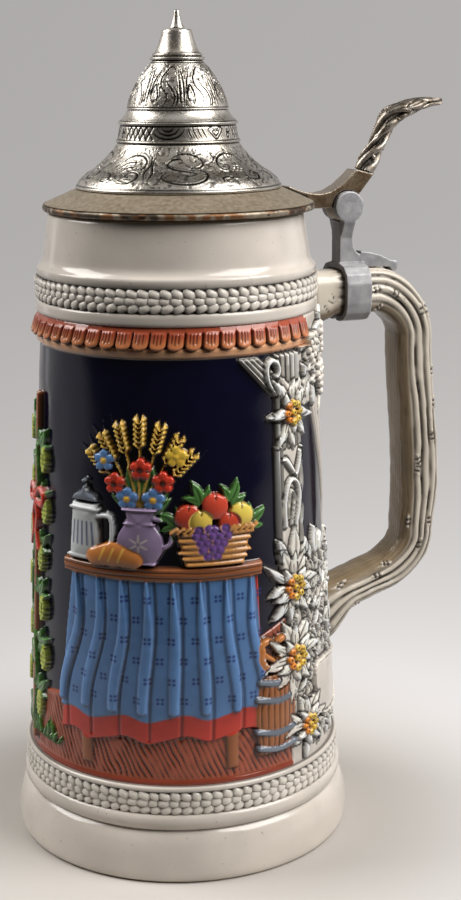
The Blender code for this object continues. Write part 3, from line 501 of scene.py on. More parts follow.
def store(mesh: Mesh, name: str, values: Array) -> None:
    """Store a number or a colour on each point of a mesh, for its material to read.

    Args:
        mesh: the mesh.
        name: name of the attribute.
        values: one number, or red, green and blue, for each point.
    """
    if values.ndim == 1:
        mesh.attributes.new(name, "FLOAT", "POINT").data.foreach_set("value", values)
    else:
        colours = np.concatenate([values, np.ones((len(values), 1))], 1)
        mesh.attributes.new(name, "FLOAT_COLOR", "POINT").data.foreach_set("color", colours.ravel())


def stand(name: str, data: ID) -> Object:
    """Put a mesh, lamp or camera in the scene.

    Args:
        name: name of its object.
        data: what the object holds.

    Returns:
        The object.
    """
    made = bpy.data.objects.new(name, data)
    bpy.context.scene.collection.objects.link(made)
    return made


@dataclass
class Skin:
    """Rings of points with paint and wash, lofted into one closed mesh."""

    rings: Array
    paint: Array
    wash: Array
    wraps: bool
    poles: bool = False
    crisp: float = math.radians(80.0)

    def mesh(self, name: str) -> Mesh:
        """Loft the rings, close the ends and store paint and wash on the points.

        Args:
            name: name of the mesh.

        Returns:
            The finished mesh.
        """
        count, sides = self.wash.shape
        ids = np.arange(count * sides).reshape(count, sides)
        near = ids if self.wraps else ids[:-1]
        far = np.roll(ids, -1, 0) if self.wraps else ids[1:]
        quads = np.stack([near, far, np.roll(far, -1, 1), np.roll(near, -1, 1)], -1).reshape(-1, 4)
        caps = [] if self.wraps else [ids[0], ids[-1][::-1]]
        points = self.rings.reshape(-1, 3) * MM
        a, b, c, d = (points[quads[:, corner]] for corner in range(4))
        volume = (np.cross(a, b) * c).sum() + (np.cross(a, c) * d).sum()
        if volume < 0:
            quads = quads[:, ::-1]
            caps = [cap[::-1] for cap in caps]
        corners = np.concatenate([quads.ravel(), *caps]).astype(np.int32)
        sizes = np.array([4] * len(quads) + [sides] * len(caps))
        mesh = bpy.data.meshes.new(name)
        mesh.vertices.add(len(points))
        mesh.vertices.foreach_set("co", points.astype(np.float32).ravel())
        mesh.loops.add(corners.size)
        mesh.loops.foreach_set("vertex_index", corners)
        mesh.polygons.add(sizes.size)
        mesh.polygons.foreach_set("loop_start", (np.cumsum(sizes) - sizes).astype(np.int32))
        mesh.update(calc_edges=True)
        store(mesh, "paint", self.paint.reshape(-1, 3))
        store(mesh, "wash", self.wash.ravel())
        if self.poles:
            merge(mesh)
        mesh.validate()
        mesh.shade_smooth()
        mesh.set_sharp_from_angle(angle=self.crisp)
        return mesh


def turned(profile: Array, paint: Array, wash: Array, steps: int, middle: float = 0.0,
           poles: bool = False) -> Skin:
    """Turn a closed profile round an upright axis.

    Args:
        profile: places (radius, height).
        paint: colour of each place, or of all.
        wash: darkness of each place.
        steps: sides of the turned piece.
        middle: where the axis stands along X.
        poles: whether the profile touches the axis.

    Returns:
        The turned skin.
    """
    angle = around(steps)[:, None]
    reach, rise = profile.T
    rings = np.empty((steps, len(profile), 3))
    rings[..., 0] = middle + np.cos(angle) * reach
    rings[..., 1] = np.sin(angle) * reach
    rings[..., 2] = rise
    paint = np.broadcast_to(paint, rings.shape)
    return Skin(rings, paint, np.tile(wash, (steps, 1)), True, poles, math.radians(50.0))


def fill(node: Node, inputs: dict) -> None:
    """Set or link the inputs of a node.

    Args:
        node: the node.
        inputs: values, or sockets or nodes to link, by input name or number.
    """
    for key, value in inputs.items():
        if isinstance(value, Node):
            value = next(socket for socket in value.outputs if socket.enabled)
        if isinstance(value, NodeSocket):
            node.id_data.links.new(value, node.inputs[key])
        else:
            node.inputs[key].default_value = value


def add(tree: NodeTree, kind: str, inputs: dict | None = None, **settings) -> Node:
    """Add a node with its settings and links.

    Args:
        tree: where the node goes.
        kind: Blender's name for the node.
        inputs: values, or sockets or nodes to link, by input name or number.
        settings: properties of the node.

    Returns:
        The new node.
    """
    node = tree.nodes.new(kind)
    for key, value in settings.items():
        setattr(node, key, value)
    fill(node, inputs or {})
    return node


def rgba(colour: str) -> tuple[float, ...]:
    """Turn a hex colour into a node's colour value."""
    return (*linear(colour), 1.0)


def blank(name: str) -> tuple[Material, NodeTree, Node, NodeSocket]:
    """Start a material.

    Args:
        name: name of the real material.

    Returns:
        The material, its node tree, its shader and the piece's own coordinates.
    """
    material = bpy.data.materials.new(name)
    material.use_nodes = True
    tree = material.node_tree
    return material, tree, tree.nodes["Principled BSDF"], add(tree, "ShaderNodeTexCoord").outputs["Object"]


class Finish:
    """A material that is made once and then shared by its pieces."""

    def material(self) -> Material:
        """Find the material, or make it at first use."""
        return bpy.data.materials.get(self.name) or self.make()


@dataclass(frozen=True)
class Glaze(Finish):
    """Painted stoneware under a clear salt glaze."""

    name: str
    wash: str
    roughness: float
    speck_mm: float = 1.3
    cloud_mm: float = 26.0
    peel_mm: float = 1.6
    peel: float = 0.12
    shades: tuple = (0.3, 0.7, 0.84, 1.06)
    specks: tuple = (0.73, 0.8, 1.0, 0.62)
    sheen: tuple = (-0.05, 0.06)

    def make(self) -> Material:
        """Mix paint, clouds, specks and wash, and ripple the glaze.

        Returns:
            The new material.
        """
        material, tree, shader, place = blank(self.name)
        paint = add(tree, "ShaderNodeAttribute", attribute_name="paint").outputs["Color"]
        wash = add(tree, "ShaderNodeAttribute", attribute_name="wash").outputs["Fac"]
        cloud, speck, peel = (
            add(tree, "ShaderNodeTexNoise", {"Vector": place, "Scale": 1 / (size * MM), "Detail": detail})
            for size, detail in ((self.cloud_mm, 4.0), (self.speck_mm, 1.0), (self.peel_mm, 2.0)))
        gloss = (*self.shades[:2], *(self.roughness + change for change in self.sheen))
        shade, dot, dull = (
            add(tree, "ShaderNodeMapRange", {"Value": noise, **dict(zip(SPAN, span))})
            for noise, span in ((cloud, self.shades), (speck, self.specks), (cloud, gloss)))
        tinted = add(tree, "ShaderNodeVectorMath", {0: paint, "Scale": shade}, operation="SCALE")
        specked = add(tree, "ShaderNodeVectorMath", {0: tinted, "Scale": dot}, operation="SCALE")
        dark = add(tree, "ShaderNodeMix", {0: wash, 6: specked, 7: rgba(self.wash)}, data_type="RGBA")
        bump = add(tree, "ShaderNodeBump", {"Strength": self.peel, "Distance": 0.12 * MM, "Height": peel})
        fill(shader, {"Base Color": dark, "Roughness": dull, "Normal": bump})
        return material


@dataclass(frozen=True)
class Pewter(Finish):
    """Tin-rich metal, cast, turned or stamped, with tarnish, dark hollows and worn edges; on castings the
    dark also carries painted shade and the pale painted light.
    """

    name: str
    bright: str
    tarnish: str
    dark: str
    worn: str
    roughness: float
    cloud_mm: float
    grain_mm: float
    grain: float
    metal: float
    patches: tuple = (0.38, 0.66)
    sheen: tuple = (0.3, 0.7, -0.07, 0.09)

    def make(self) -> Material:
        """Mix bright metal, tarnish, dark hollows with painted shade, and worn edges with painted light, and
        roughen the grain.

        Returns:
            The new material.
        """
        material, tree, shader, place = blank(self.name)
        wash, wear = (add(tree, "ShaderNodeAttribute", attribute_name=name).outputs["Fac"]
                      for name in ("wash", "wear"))
        cloud, grain = (
            add(tree, "ShaderNodeTexNoise", {"Vector": place, "Scale": 1 / (size * MM), "Detail": detail})
            for size, detail in ((self.cloud_mm, 5.0), (self.grain_mm, 3.0)))
        patch = add(tree, "ShaderNodeMapRange", {"Value": cloud, **dict(zip(SPAN, self.patches))})
        colour = rgba(self.bright)
        for share, over in ((patch, self.tarnish), (wear, self.worn), (wash, self.dark)):
            colour = add(tree, "ShaderNodeMix", {0: share, 6: colour, 7: rgba(over)}, data_type="RGBA")
        low, high, smoother, rougher = self.sheen
        span = (low, high, self.roughness + smoother, self.roughness + rougher)
        dull = add(tree, "ShaderNodeMapRange", {"Value": grain, **dict(zip(SPAN, span))})
        bump = add(tree, "ShaderNodeBump", {"Strength": self.grain, "Distance": 0.15 * MM, "Height": grain})
        fill(shader, {"Base Color": colour, "Roughness": dull, "Normal": bump, "Metallic": self.metal})
        return material


@dataclass(frozen=True)
class StudioPaper(Finish):
    """Backdrop paper that takes shadows near the stein, and further off glows with painted light that dims
    with distance and is brighter on the right.

    Its reaches from the stein are in metres.
    """

    name: str
    colour: str
    glow: str
    roughness: float = 0.9
    fibre_mm: float = 2.0
    fibre: float = 0.03
    near: float = 0.06
    far: float = 0.17
    level: float = 0.4
    falloff: float = 0.088
    core: float = 0.08
    lean: float = 0.14
    room: tuple = (0.1, 0.4, 1.0, 0.12)

    def make(self) -> Material:
        """Blend the shadowed floor into a glowing grey, a painted light that fades with distance and from
        right to left.

        Returns:
            The new material.
        """
        material, tree, shader, place = blank(self.name)
        fibre = add(tree, "ShaderNodeTexNoise", {"Vector": place, "Scale": 1 / (self.fibre_mm * MM)})
        bump = add(tree, "ShaderNodeBump", {"Strength": self.fibre, "Distance": 0.1 * MM, "Height": fibre})
        fill(shader, {"Normal": bump, "Base Color": rgba(self.colour), "Roughness": self.roughness})
        flat = add(tree, "ShaderNodeVectorMath", {0: place, 1: (1, 1, 0)}, operation="MULTIPLY")
        reach = add(tree, "ShaderNodeVectorMath", {0: flat}, operation="LENGTH")
        away = add(tree, "ShaderNodeMapRange", {"Value": reach, "From Min": self.near, "From Max": self.far},
                   interpolation_type="SMOOTHSTEP")
        rise = add(tree, "ShaderNodeSeparateXYZ", {0: place}).outputs["Z"]
        run = add(tree, "ShaderNodeMath", {0: reach, 1: rise}, operation="ADD")
        run = add(tree, "ShaderNodeMath", {0: run, 1: self.core}, operation="ADD")
        fade = add(tree, "ShaderNodeMath", {0: self.falloff, 1: run}, operation="DIVIDE")
        even = add(tree, "ShaderNodeMath", {0: fade, 1: self.level}, operation="ADD")
        # Painted light: the glow is brighter towards the right-hand lamp.
        right = (self.lean * math.cos(PHOTO_TURN), -self.lean * math.sin(PHOTO_TURN), 0)
        front = (-math.sin(PHOTO_TURN), -math.cos(PHOTO_TURN), 0)
        aside, ahead = (add(tree, "ShaderNodeVectorMath", {0: place, 1: way_to}, operation="DOT_PRODUCT")
                        for way_to in (right, front))
        share = add(tree, "ShaderNodeMath", {0: aside, 1: reach}, operation="DIVIDE")
        tone = add(tree, "ShaderNodeMath", {0: share, 1: even, 2: even}, operation="MULTIPLY_ADD")
        # Painted reflection: seen in reflections, the glow is dimmer in front of the stein.
        room = add(tree, "ShaderNodeMapRange", {"Value": ahead, **dict(zip(SPAN, self.room))})
        rays = add(tree, "ShaderNodeLightPath").outputs
        mirrored = add(tree, "ShaderNodeMath", {0: rays["Is Glossy Ray"], 1: room, 2: rays["Is Camera Ray"]},
                       operation="MULTIPLY_ADD")
        seen = add(tree, "ShaderNodeMath", {0: mirrored, 1: rays["Is Transmission Ray"]}, operation="ADD",
                   use_clamp=True)
        strength = add(tree, "ShaderNodeMath", {0: tone, 1: seen}, operation="MULTIPLY")
        glow = add(tree, "ShaderNodeEmission", {"Color": rgba(self.glow), "Strength": strength})
        both = add(tree, "ShaderNodeMixShader", {0: away, 1: shader, 2: glow})
        fill(tree.nodes["Material Output"], {"Surface": both})
        return material


# Painted clay under a clear salt glaze: a wet gloss, soft clouds, iron specks and dark wash in the hollows.
# Specks and orange peel are finer on a real glaze, and are drawn coarser so that they show.
STONEWARE = Glaze("salt_glazed_stoneware", "#17110D", 0.14)
# The same clay moulded as bark: less wet, with brown wash along the grooves.
BARK_STONEWARE = Glaze("moulded_bark_stoneware", "#2C2117", 0.19)
# Pewter as cast: a dull mid grey with little shine. The sand's grain is drawn coarser here and below.
GREY_PEWTER = Pewter(
    "cast_grey_pewter", "#AEADAF", "#929196", "#241E18", "#BDBCBE", 0.48, 4.0, 0.7, 0.35, 0.25)
# Cast pewter gone brown: a warm dark sheen, paler where thumbs rub it, with painted light on the arm's upward
# faces.
ANTIQUE_PEWTER = Pewter(
    "antique_cast_pewter", "#7E6D58", "#5A4733", "#110D0A", "#A2998E", 0.4, 5.0, 0.8, 0.35, 0.7)
# Cast pewter with fine forms: bright on the twigs, nearly black between them.
TWIG_PEWTER = Pewter(
    "cast_twig_pewter", "#B0A89E", "#786C5E", "#14100C", "#BDB6AD", 0.42, 3.0, 0.7, 0.4, 0.85)
# Turned pewter dulled by handling: beige and nearly matt, with brown showing on its worn edge.
WORN_PEWTER = Pewter(
    "turned_worn_pewter", "#A39684", "#887B67", "#2C2117", "#7C5636", 0.46, 1.5, 0.6, 0.4, 0.5)
# Stamped and polished pewter: bright, softly mirroring, with black in the stamped lines.
BRIGHT_PEWTER = Pewter(
    "stamped_bright_pewter", "#C4C0B9", "#B1AA9F", "#100D0A", "#DCD9D3", 0.32, 6.0, 0.5, 0.15, 1.0)
# Drawn steel wire: plain grey metal, of which only the ends could show.
PIN_STEEL = Pewter(
    "drawn_steel_wire", "#8E8C88", "#6E6B66", "#2A2826", "#B0AEAA", 0.35, 3.0, 0.3, 0.2, 1.0)
# Matt paper: pale grey with a faint fibre, and a painted glow a little darker with distance.
PAPER = StudioPaper("backdrop_paper", "#BDB8B3", "#FFFBF9")


def piece(name: str, mesh: Mesh, finish: Finish, body: str, nodes: tuple[str, ...]) -> None:
    """Put a finished mesh on its body.

    Args:
        name: name of the piece.
        mesh: its mesh, in place.
        finish: its material.
        body: body that it moves with.
        nodes: solids that it stands for.
    """
    mesh.materials.clear()
    mesh.materials.append(finish.material())
    made = stand(name, mesh)
    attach(made, body)
    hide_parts(*nodes)
    LOG.info("%s: %d faces on %s", name, len(mesh.polygons), body)


def plain_mesh(holder: Object, name: str) -> Mesh:
    """Turn an object with modifiers into a plain mesh, and remove the object.

    Args:
        holder: object to evaluate.
        name: name of the mesh.

    Returns:
        The evaluated mesh.
    """
    graph = bpy.context.evaluated_depsgraph_get()
    mesh = bpy.data.meshes.new_from_object(holder.evaluated_get(graph), depsgraph=graph)
    mesh.name = name
    holder.modifiers.clear()
    bpy.data.objects.remove(holder)
    return mesh


@dataclass(frozen=True)
class Row:
    """One row of copies round the vessel."""

    shape: Mesh
    height: float
    shift: float


@dataclass(frozen=True)
class RingOfCopies:
    """Equal shapes set round the vessel's axis by a node tree."""

    name: str
    count: int
    start: float
    step: float
    radius: float
    rows: tuple[Row, ...]
    uneven: float = 0.0

    def tree(self, holders: list, material: Material) -> NodeTree:
        """Build the node tree.

        Args:
            holders: one object for each row's shape.
            material: material of the copies.

        Returns:
            The tree, with named inputs for its sizes.
        """
        tree = bpy.data.node_groups.new(self.name, "GeometryNodeTree")
        for label, kind in (("Count", "Int"), ("Start", "Float"), ("Step", "Float"), ("Radius", "Float"),
                            ("Least", "Vector"), ("Most", "Vector")):
            tree.interface.new_socket(label, in_out="INPUT", socket_type="NodeSocket" + kind)
        tree.interface.new_socket("Geometry", in_out="OUTPUT", socket_type="NodeSocketGeometry")
        sizes = add(tree, "NodeGroupInput").outputs
        index = add(tree, "GeometryNodeInputIndex")
        joined = add(tree, "GeometryNodeJoinGeometry")
        for number, (row, holder) in enumerate(zip(self.rows, holders)):
            place = add(tree, "ShaderNodeMath", {0: index, 1: row.shift}, operation="ADD")
            angle = add(tree, "ShaderNodeMath", {0: place, 1: sizes["Step"], 2: sizes["Start"]},
                        operation="MULTIPLY_ADD")
            x, y = (add(tree, "ShaderNodeMath", {
                0: add(tree, "ShaderNodeMath", {0: angle}, operation=kind), 1: sizes["Radius"]},
                operation="MULTIPLY") for kind in ("COSINE", "SINE"))
            spot = add(tree, "ShaderNodeCombineXYZ", {"X": x, "Y": y, "Z": row.height * MM})
            turn = add(tree, "ShaderNodeCombineXYZ", {"Z": angle})
            facing = add(tree, "FunctionNodeEulerToRotation", {"Euler": turn})
            points = add(tree, "GeometryNodePoints", {"Count": sizes["Count"], "Position": spot})
            shape = add(tree, "GeometryNodeObjectInfo", {"Object": holder}).outputs["Geometry"]
            scale = add(tree, "FunctionNodeRandomValue",
                        {0: sizes["Least"], 1: sizes["Most"], "Seed": number}, data_type="FLOAT_VECTOR")
            copies = add(tree, "GeometryNodeInstanceOnPoints",
                         {"Points": points, "Instance": shape, "Rotation": facing, "Scale": scale})
            fill(joined, {0: copies})
        real = add(tree, "GeometryNodeRealizeInstances", {"Geometry": joined})
        dressed = add(tree, "GeometryNodeSetMaterial", {"Geometry": real, "Material": material})
        add(tree, "NodeGroupOutput", {0: dressed})
        return tree

    def mesh(self, material: Material) -> Mesh:
        """Set the copies round the axis as one plain mesh.

        Args:
            material: material of the copies.

        Returns:
            The mesh.
        """
        holders = [stand(f"{self.name}_shape", row.shape) for row in self.rows]
        holder = stand(self.name, bpy.data.meshes.new(self.name))
        modifier = holder.modifiers.new(self.name, "NODES")
        modifier.node_group = self.tree(holders, material)
        sizes = {"Count": self.count, "Start": self.start, "Step": self.step, "Radius": self.radius * MM,
                 "Least": [1 - self.uneven] * 3, "Most": [1 + self.uneven] * 3}
        for socket in modifier.node_group.interface.items_tree:
            if socket.in_out == "INPUT":
                modifier[socket.identifier] = sizes[socket.name]
        mesh = plain_mesh(holder, self.name)
        for made in holders:
            bpy.data.objects.remove(made)
        return mesh


@dataclass
class VesselCore:
    """The turned part of the moulding: neck, collar, rope beds, roll, foot and inside.

    Each belt of dark wash has a least radius, a lower and an upper height and a darkness. In the rope beds it
    is dark wash with painted shade between the beads, and the thin belt between roll and foot is painted
    shade.
    """

    sides: int = 256
    step: float = 0.7
    inside_step: float = 2.4
    bare_below: float = 0.6
    neck: tuple = (
        (38.2, 207.6), (38.35, 208.6), (38.9, 209.2), (39.9, 209.4), (40.9, 209.2), (41.5, 208.6),
        (41.7, 207.4), (42.3, 203.2), (43.0, 198.6), (43.3, 196.4), (43.6, 194.7), (44.3, 193.3),
        (45.1, 192.5))
    collar: tuple = ((45.4, 192.2), (45.5, 191.5), (45.45, 190.3), (45.2, 189.7), (44.9, 189.4))
    upper_bed: tuple = ((44.9, 189.4), (44.9, 182.1))
    ledge: tuple = (
        (45.0, 182.1), (45.6, 181.8), (45.9, 181.2), (46.0, 179.0), (45.9, 178.2), (45.4, 177.8),
        (43.9, 177.6))
    behind: tuple = ((43.4, 168.0), (49.2, 32.4), (49.6, 31.7))
    sill: tuple = ((52.6, 31.65), (53.3, 31.45), (53.6, 30.9), (53.6, 30.2), (53.3, 29.7), (52.8, 29.5))
    lower_bed: tuple = ((52.7, 29.4), (52.7, 22.5))
    roll: tuple = (
        (53.3, 22.5), (54.0, 22.0), (54.5, 21.2), (54.75, 20.0), (54.6, 18.7), (54.1, 17.6), (53.5, 17.0))
    foot: tuple = (
        (53.3, 16.8), (53.7, 16.4), (54.6, 15.5), (55.6, 13.3), (56.4, 10.2), (56.85, 6.4), (57.0, 3.0),
        (56.8, 1.3), (56.3, 0.4), (55.4, 0.0))
    under: tuple = ((49.6, 0.0), (48.9, 0.5), (0.0, 0.5))
    inside: tuple = (
        (0.0, 8.0), (38.6, 8.0), (41.6, 8.7), (43.9, 10.6), (45.0, 14.0), (44.9, 31.6), (39.2, 168.4),
        (38.7, 180.0), (38.3, 195.0))
    belts: tuple = (
        (43.9, 181.8, 189.8, 0.9), (51.7, 22.2, 29.8, 0.75), (50.0, 16.55, 17.25, 0.35),
        (50.0, 31.5, 32.0, 0.8))

    def curve(self, points: tuple) -> Array:
        """Draw a smooth run of the profile."""
        return evenly(smooth_path(points, 6), self.step)

    def build(self) -> Mesh:
        """Turn the profile, with dark wash and painted shade in the rope beds, painted shade in the groove
        between roll and foot, and bare clay underneath.

        Returns:
            The turned mesh.
        """
        upper, lower = (evenly(np.array(bed), self.step) for bed in (self.upper_bed, self.lower_bed))
        profile = np.concatenate([
            self.curve(self.neck), self.curve(self.collar), upper, self.curve(self.ledge), self.behind,
            self.curve(self.sill), lower, self.curve(self.roll), self.curve(self.foot), self.under,
            evenly(np.array(self.inside), self.inside_step)])
        radius, height = profile.T
        paint = np.tile(Coat.IVORY.colour, (len(profile), 1))
        paint[height < self.bare_below] = Coat.BUFF.colour
        wash = np.zeros(len(profile))
        for least, low, high, dark in self.belts:
            wash[(radius > least) & (height >= low) & (height <= high)] = dark
        return turned(profile, paint, wash, self.sides, poles=True).mesh("vessel_core")

    def dress(self) -> None:
        """Stand the core in for the vessel's solid."""
        piece("vessel_core", self.build(), STONEWARE, "vessel", ("stein_body",))


@dataclass
class RopeBand:
    """A band of three rows of twisted rope beads."""

    name: str
    count: int
    radius: float
    heights: tuple[float, float, float]
    length: float
    width: float
    stain: float
    depth: float = 1.45
    tilt: float = math.radians(24.0)
    shifts: tuple[float, float, float] = (0.0, -0.15, 0.1)
    uneven: float = 0.08
    corner: float = 0.75
    bulge: float = 0.7
    fade: int = 4
    sides: int = 12
    tiers: int = 3

    def bead(self, tilt: float) -> Mesh:
        """Make one rounded bead that faces along +X.

        Args:
            tilt: how far its length leans, in radians.

        Returns:
            A small closed mesh with paint and wash.
        """
        cos, sin = np.cos(around(self.sides)), np.sin(around(self.sides))
        across = np.sign(cos) * np.abs(cos) ** self.corner * self.length / 2
        along = np.sign(sin) * np.abs(sin) ** self.corner * self.width / 2
        lean = np.array([[math.cos(tilt), math.sin(tilt)], [-math.sin(tilt), math.cos(tilt)]])
        outline = np.stack([across, along], 1) @ lean
        points = [(self.depth, 0.0, 0.0)]
        wash = [0.0]
        for tier in np.linspace(0.0, math.pi / 2, self.tiers + 1)[1:]:
            out = self.depth * math.cos(tier) ** self.bulge
            points += [(out, y * math.sin(tier), z * math.sin(tier)) for y, z in outline]
            wash += [self.stain * math.sin(tier) ** self.fade] * self.sides
        ids = 1 + np.arange(self.tiers * self.sides).reshape(self.tiers, self.sides)
        faces = [(0, here, after) for here, after in zip(ids[0], np.roll(ids[0], -1))]
        for near, far in zip(ids, ids[1:]):
            faces += zip(near, far, np.roll(far, -1), np.roll(near, -1))
        faces.append(ids[-1][::-1])
        mesh = bpy.data.meshes.new("rope_bead")
        mesh.from_pydata((np.array(points) * MM).tolist(), [], [[int(i) for i in face] for face in faces])
        store(mesh, "paint", np.tile(Coat.CREAM.colour, (len(points), 1)))
        store(mesh, "wash", np.array(wash))
        mesh.shade_smooth()
        return mesh

    def build(self) -> Mesh:
        """Set the rows of beads round the axis.

        Returns:
            The mesh of the band.
        """
        rows = tuple(Row(self.bead(tilt), height, shift) for tilt, height, shift in
                     zip((-self.tilt, 0.0, self.tilt), self.heights, self.shifts))
        step = math.tau / self.count
        ring = RingOfCopies(self.name, self.count, 0.0, step, self.radius, rows, self.uneven)
        return ring.mesh(STONEWARE.material())

    def dress(self) -> None:
        """Lay the band in its bed on the vessel."""
        piece(self.name, self.build(), STONEWARE, "vessel", ("stein_body",))


@dataclass
class ShingleEave:
    """The row of clay shingles over the picture.

    Each combed line has its place across, and the share of the length at which it ends.
    """

    count: int = 54
    roof_end: float = math.radians(50.0)
    top: tuple = (45.2, 178.0)
    tip: tuple = (47.6, 171.0)
    half_width: float = 2.62
    columns: int = 25
    rows: int = 24
    thickness: float = 1.3
    slant: float = 0.13
    corner: float = 2.1
    strip: float = 1.4
    lines: tuple = ((-1.2, 0.74), (-0.2, 0.82), (0.85, 0.78))
    line_half: float = 0.24
    line_deep: float = 0.3
    swell: float = 0.5
    edge_drop: float = 0.7

    def shingle(self) -> Mesh:
        """Make one shingle: a plain strip above a swelling tongue with combed lines.

        Returns:
            A small closed mesh with paint and wash.
        """
        y = np.linspace(-1, 1, self.columns)[:, None] * self.half_width
        length = self.top[1] - self.tip[1]
        across = np.abs(y) / self.half_width
        bottom = length - self.corner * (1 - np.sqrt(np.clip(1 - across ** 2.1, 0, 1)))
        down = bottom * np.linspace(0, 1, self.rows)[None, :]
        border = np.minimum(self.half_width - np.abs(y), bottom - down)
        tongue = smooth((down - self.strip) / 0.8)
        lines = np.zeros_like(border)
        for middle, low in self.lines:
            reach = smooth((low * length - down) / 0.8) * smooth((down - self.strip - 0.3) / 0.6)
            lines = np.maximum(lines, np.exp(-(((y - middle) / self.line_half) ** 2)) * reach)
        swell = self.swell * (1 - across ** 2) - self.edge_drop * np.exp(-((border / 0.3) ** 2))
        lean = (self.tip[0] - self.top[0]) * (down / length) ** 0.85
        out = self.top[0] + lean + swell * tongue - self.line_deep * lines
        front = np.stack([out, y - self.slant * down, self.top[1] - down], -1)
        back = front[:, [-1, 0]].copy()
        back[..., 0] -= self.thickness
        paint = np.tile(Coat.TILE.colour, (self.columns, self.rows, 1))
        paint += (Coat.RIM.colour - paint) * smooth((down / length - 0.35) / 0.5)[..., None]
        paint = np.concatenate([paint, np.tile(Coat.SHADE.colour, (self.columns, 2, 1))], 1)
        rim = 0.7 * smooth((0.28 - border) / 0.28) * tongue
        # Painted shadow down the left side of each tongue, where the next shingle overlaps it.
        left_edge_shadow = 0.85 * smooth((0.75 - y - self.half_width) / 0.5) * tongue
        wash = np.maximum(np.maximum(0.75 * lines, rim), left_edge_shadow)
        wash = np.concatenate([wash, np.ones((self.columns, 2))], 1)
        return Skin(np.concatenate([front, back], 1), paint, wash, False).mesh("shingle")

    def build(self) -> Mesh:
        """Set the shingles round the roofed part of the vessel.

        Returns:
            The mesh of the eave.
        """
        step = math.tau / self.count
        along = round((math.tau - 2 * self.roof_end) / step)
        rows = (Row(self.shingle(), 0.0, 0.0),)
        ring = RingOfCopies("shingle_eave", along + 1, math.pi - step * along / 2, step, 0.0, rows)
        return ring.mesh(STONEWARE.material())

    def dress(self) -> None:
        """Hang the eave over the picture."""
        piece("shingle_eave", self.build(), STONEWARE, "vessel", ("stein_body",))


def blade(length: float, bow: float = 0.5, steps: int = 5) -> Array:
    """Draw the bowed midline of a leaf that stands on its stalk."""
    return smooth_path([(0, 0), (bow, 0.5 * length), (0, length)], steps)


def leaf(pen: Pen, coat: Coat, length: float, level: float) -> None:
    """Lay a pointed leaf with a dark midrib, upright on its stalk."""
    widths = np.array([0.25, 1.3, 1.7, 1.4, 0.8, 0.1]) * length / 7
    pen.ridge(blade(length), widths, level, 0.5, coat, 0.6, 0.8 if coat is Coat.CREAM else 0.0)


def edelweiss(pen: Pen) -> None:
    """Lay an edelweiss: two rings of pointed woolly petals round ring-shaped florets.

    Args:
        pen: its middle.
    """
    for layer, (count, length, level) in enumerate(((8, 8.8, 1.6), (5, 5.6, 2.1))):
        for index in range(count):
            angle = math.tau * (index + 0.5 * layer) / count + 0.2 * math.sin(5.1 * index + pen.u)
            reach = length * (1 + 0.15 * math.sin(3.7 * index + pen.v))
            bend = 0.7 * math.sin(2.3 * index + pen.u)
            petal = pen.at(0, 0, turn=angle)
            path = smooth_path([(0, 1.2), (bend, 0.55 * reach), (0, reach)], 5)
            petal.ridge(path, (0.55, 0.95, 1.2, 1.1, 0.7, 0.15), level, 0.5, Coat.CREAM, line=0.8)
            for side in (-0.45, 0.45):
                vein = [(side, 0.24 * reach), (0.9 * side + bend, (0.62 - 0.12 * side) * reach)]
                petal.cut(vein, (0.36, 0.3, 0.12), 0.2, 1.0)
    for index in range(9):
        angle = math.tau * index / 8
        away = 2.2 if index < 8 else 0.0
        floret = pen.at(away * math.cos(angle), away * math.sin(angle))
        floret.bead(1.0, 2.5, 0.75, Coat.ORANGE if index in (3, 4, 5) else Coat.YELLOW, 0.3)
        floret.cut(DOT, 0.46, 0.35, 0.9)


def hop_leaf(pen: Pen) -> None:
    """Lay a five-lobed hop leaf."""
    for turn, length in ((-1.75, 4.6), (1.75, 4.6), (-0.85, 6.4), (0.85, 6.4), (0.0, 8.0)):
        leaf(pen.at(0, 0, turn=turn), Coat.LEAF, length, 1.3)


def hop_cone(pen: Pen) -> None:
    """Lay a hanging hop cone of overlapping scales.

    Args:
        pen: top of the cone.
    """
    for row, half in reversed(list(enumerate((1.2, 1.9, 2.1, 1.7, 0.8)))):
        for side in (-1, 1, 0):
            widths = np.array([0.6, 1.0, 0.15]) * (0.6 + 0.2 * half)
            scale = pen.at(side * 0.62 * half, -1.5 * row)
            middle = [(0, 0.4), (side * 0.15, -1.1), (0, -2.1)]
            scale.ridge(middle, widths, 1.6 + 0.1 * (side == 0), 0.6, Coat.HOP)


def grapes(pen: Pen, coat: Coat, rows: tuple[int, ...]) -> None:
    """Lay a hanging bunch of grapes.

    Args:
        pen: top middle of the bunch.
        coat: its paint.
        rows: number of grapes in each row, from the top.
    """
    for row, count in enumerate(rows):
        for index in range(count):
            sway = 0.35 * math.sin(2.9 * index + 1.7 * row + pen.u)
            berry = pen.at((index - (count - 1) / 2) * 2.5 + sway, -2.15 * row + 0.5 * sway)
            berry.bead(1.42, 1.9 + 0.12 * (row % 2), 0.95, coat)


def wheat(pen: Pen, length: float) -> None:
    """Lay an ear of wheat on its stalk.

    Args:
        pen: foot of the stalk, which points up.
        length: length of stalk and ear.
    """
    pen.ridge([(0, 0), (0, length)], 0.42, 1.5, 0.35, Coat.WHEAT)
    for index in range(6):
        rise = length - 7.5 + 1.5 * index
        for side in (-1, 1):
            grain = [(0.2 * side, rise), (1.3 * side, rise + 1.3), (1.0 * side, rise + 2.6)]
            pen.ridge(grain, (0.4, 0.85, 0.15), 1.9, 0.5, Coat.WHEAT)
            pen.cut([(1.0 * side, rise + 2.4), (2.4 * side, rise + 5.6)], 0.16, -0.2, 0.0)


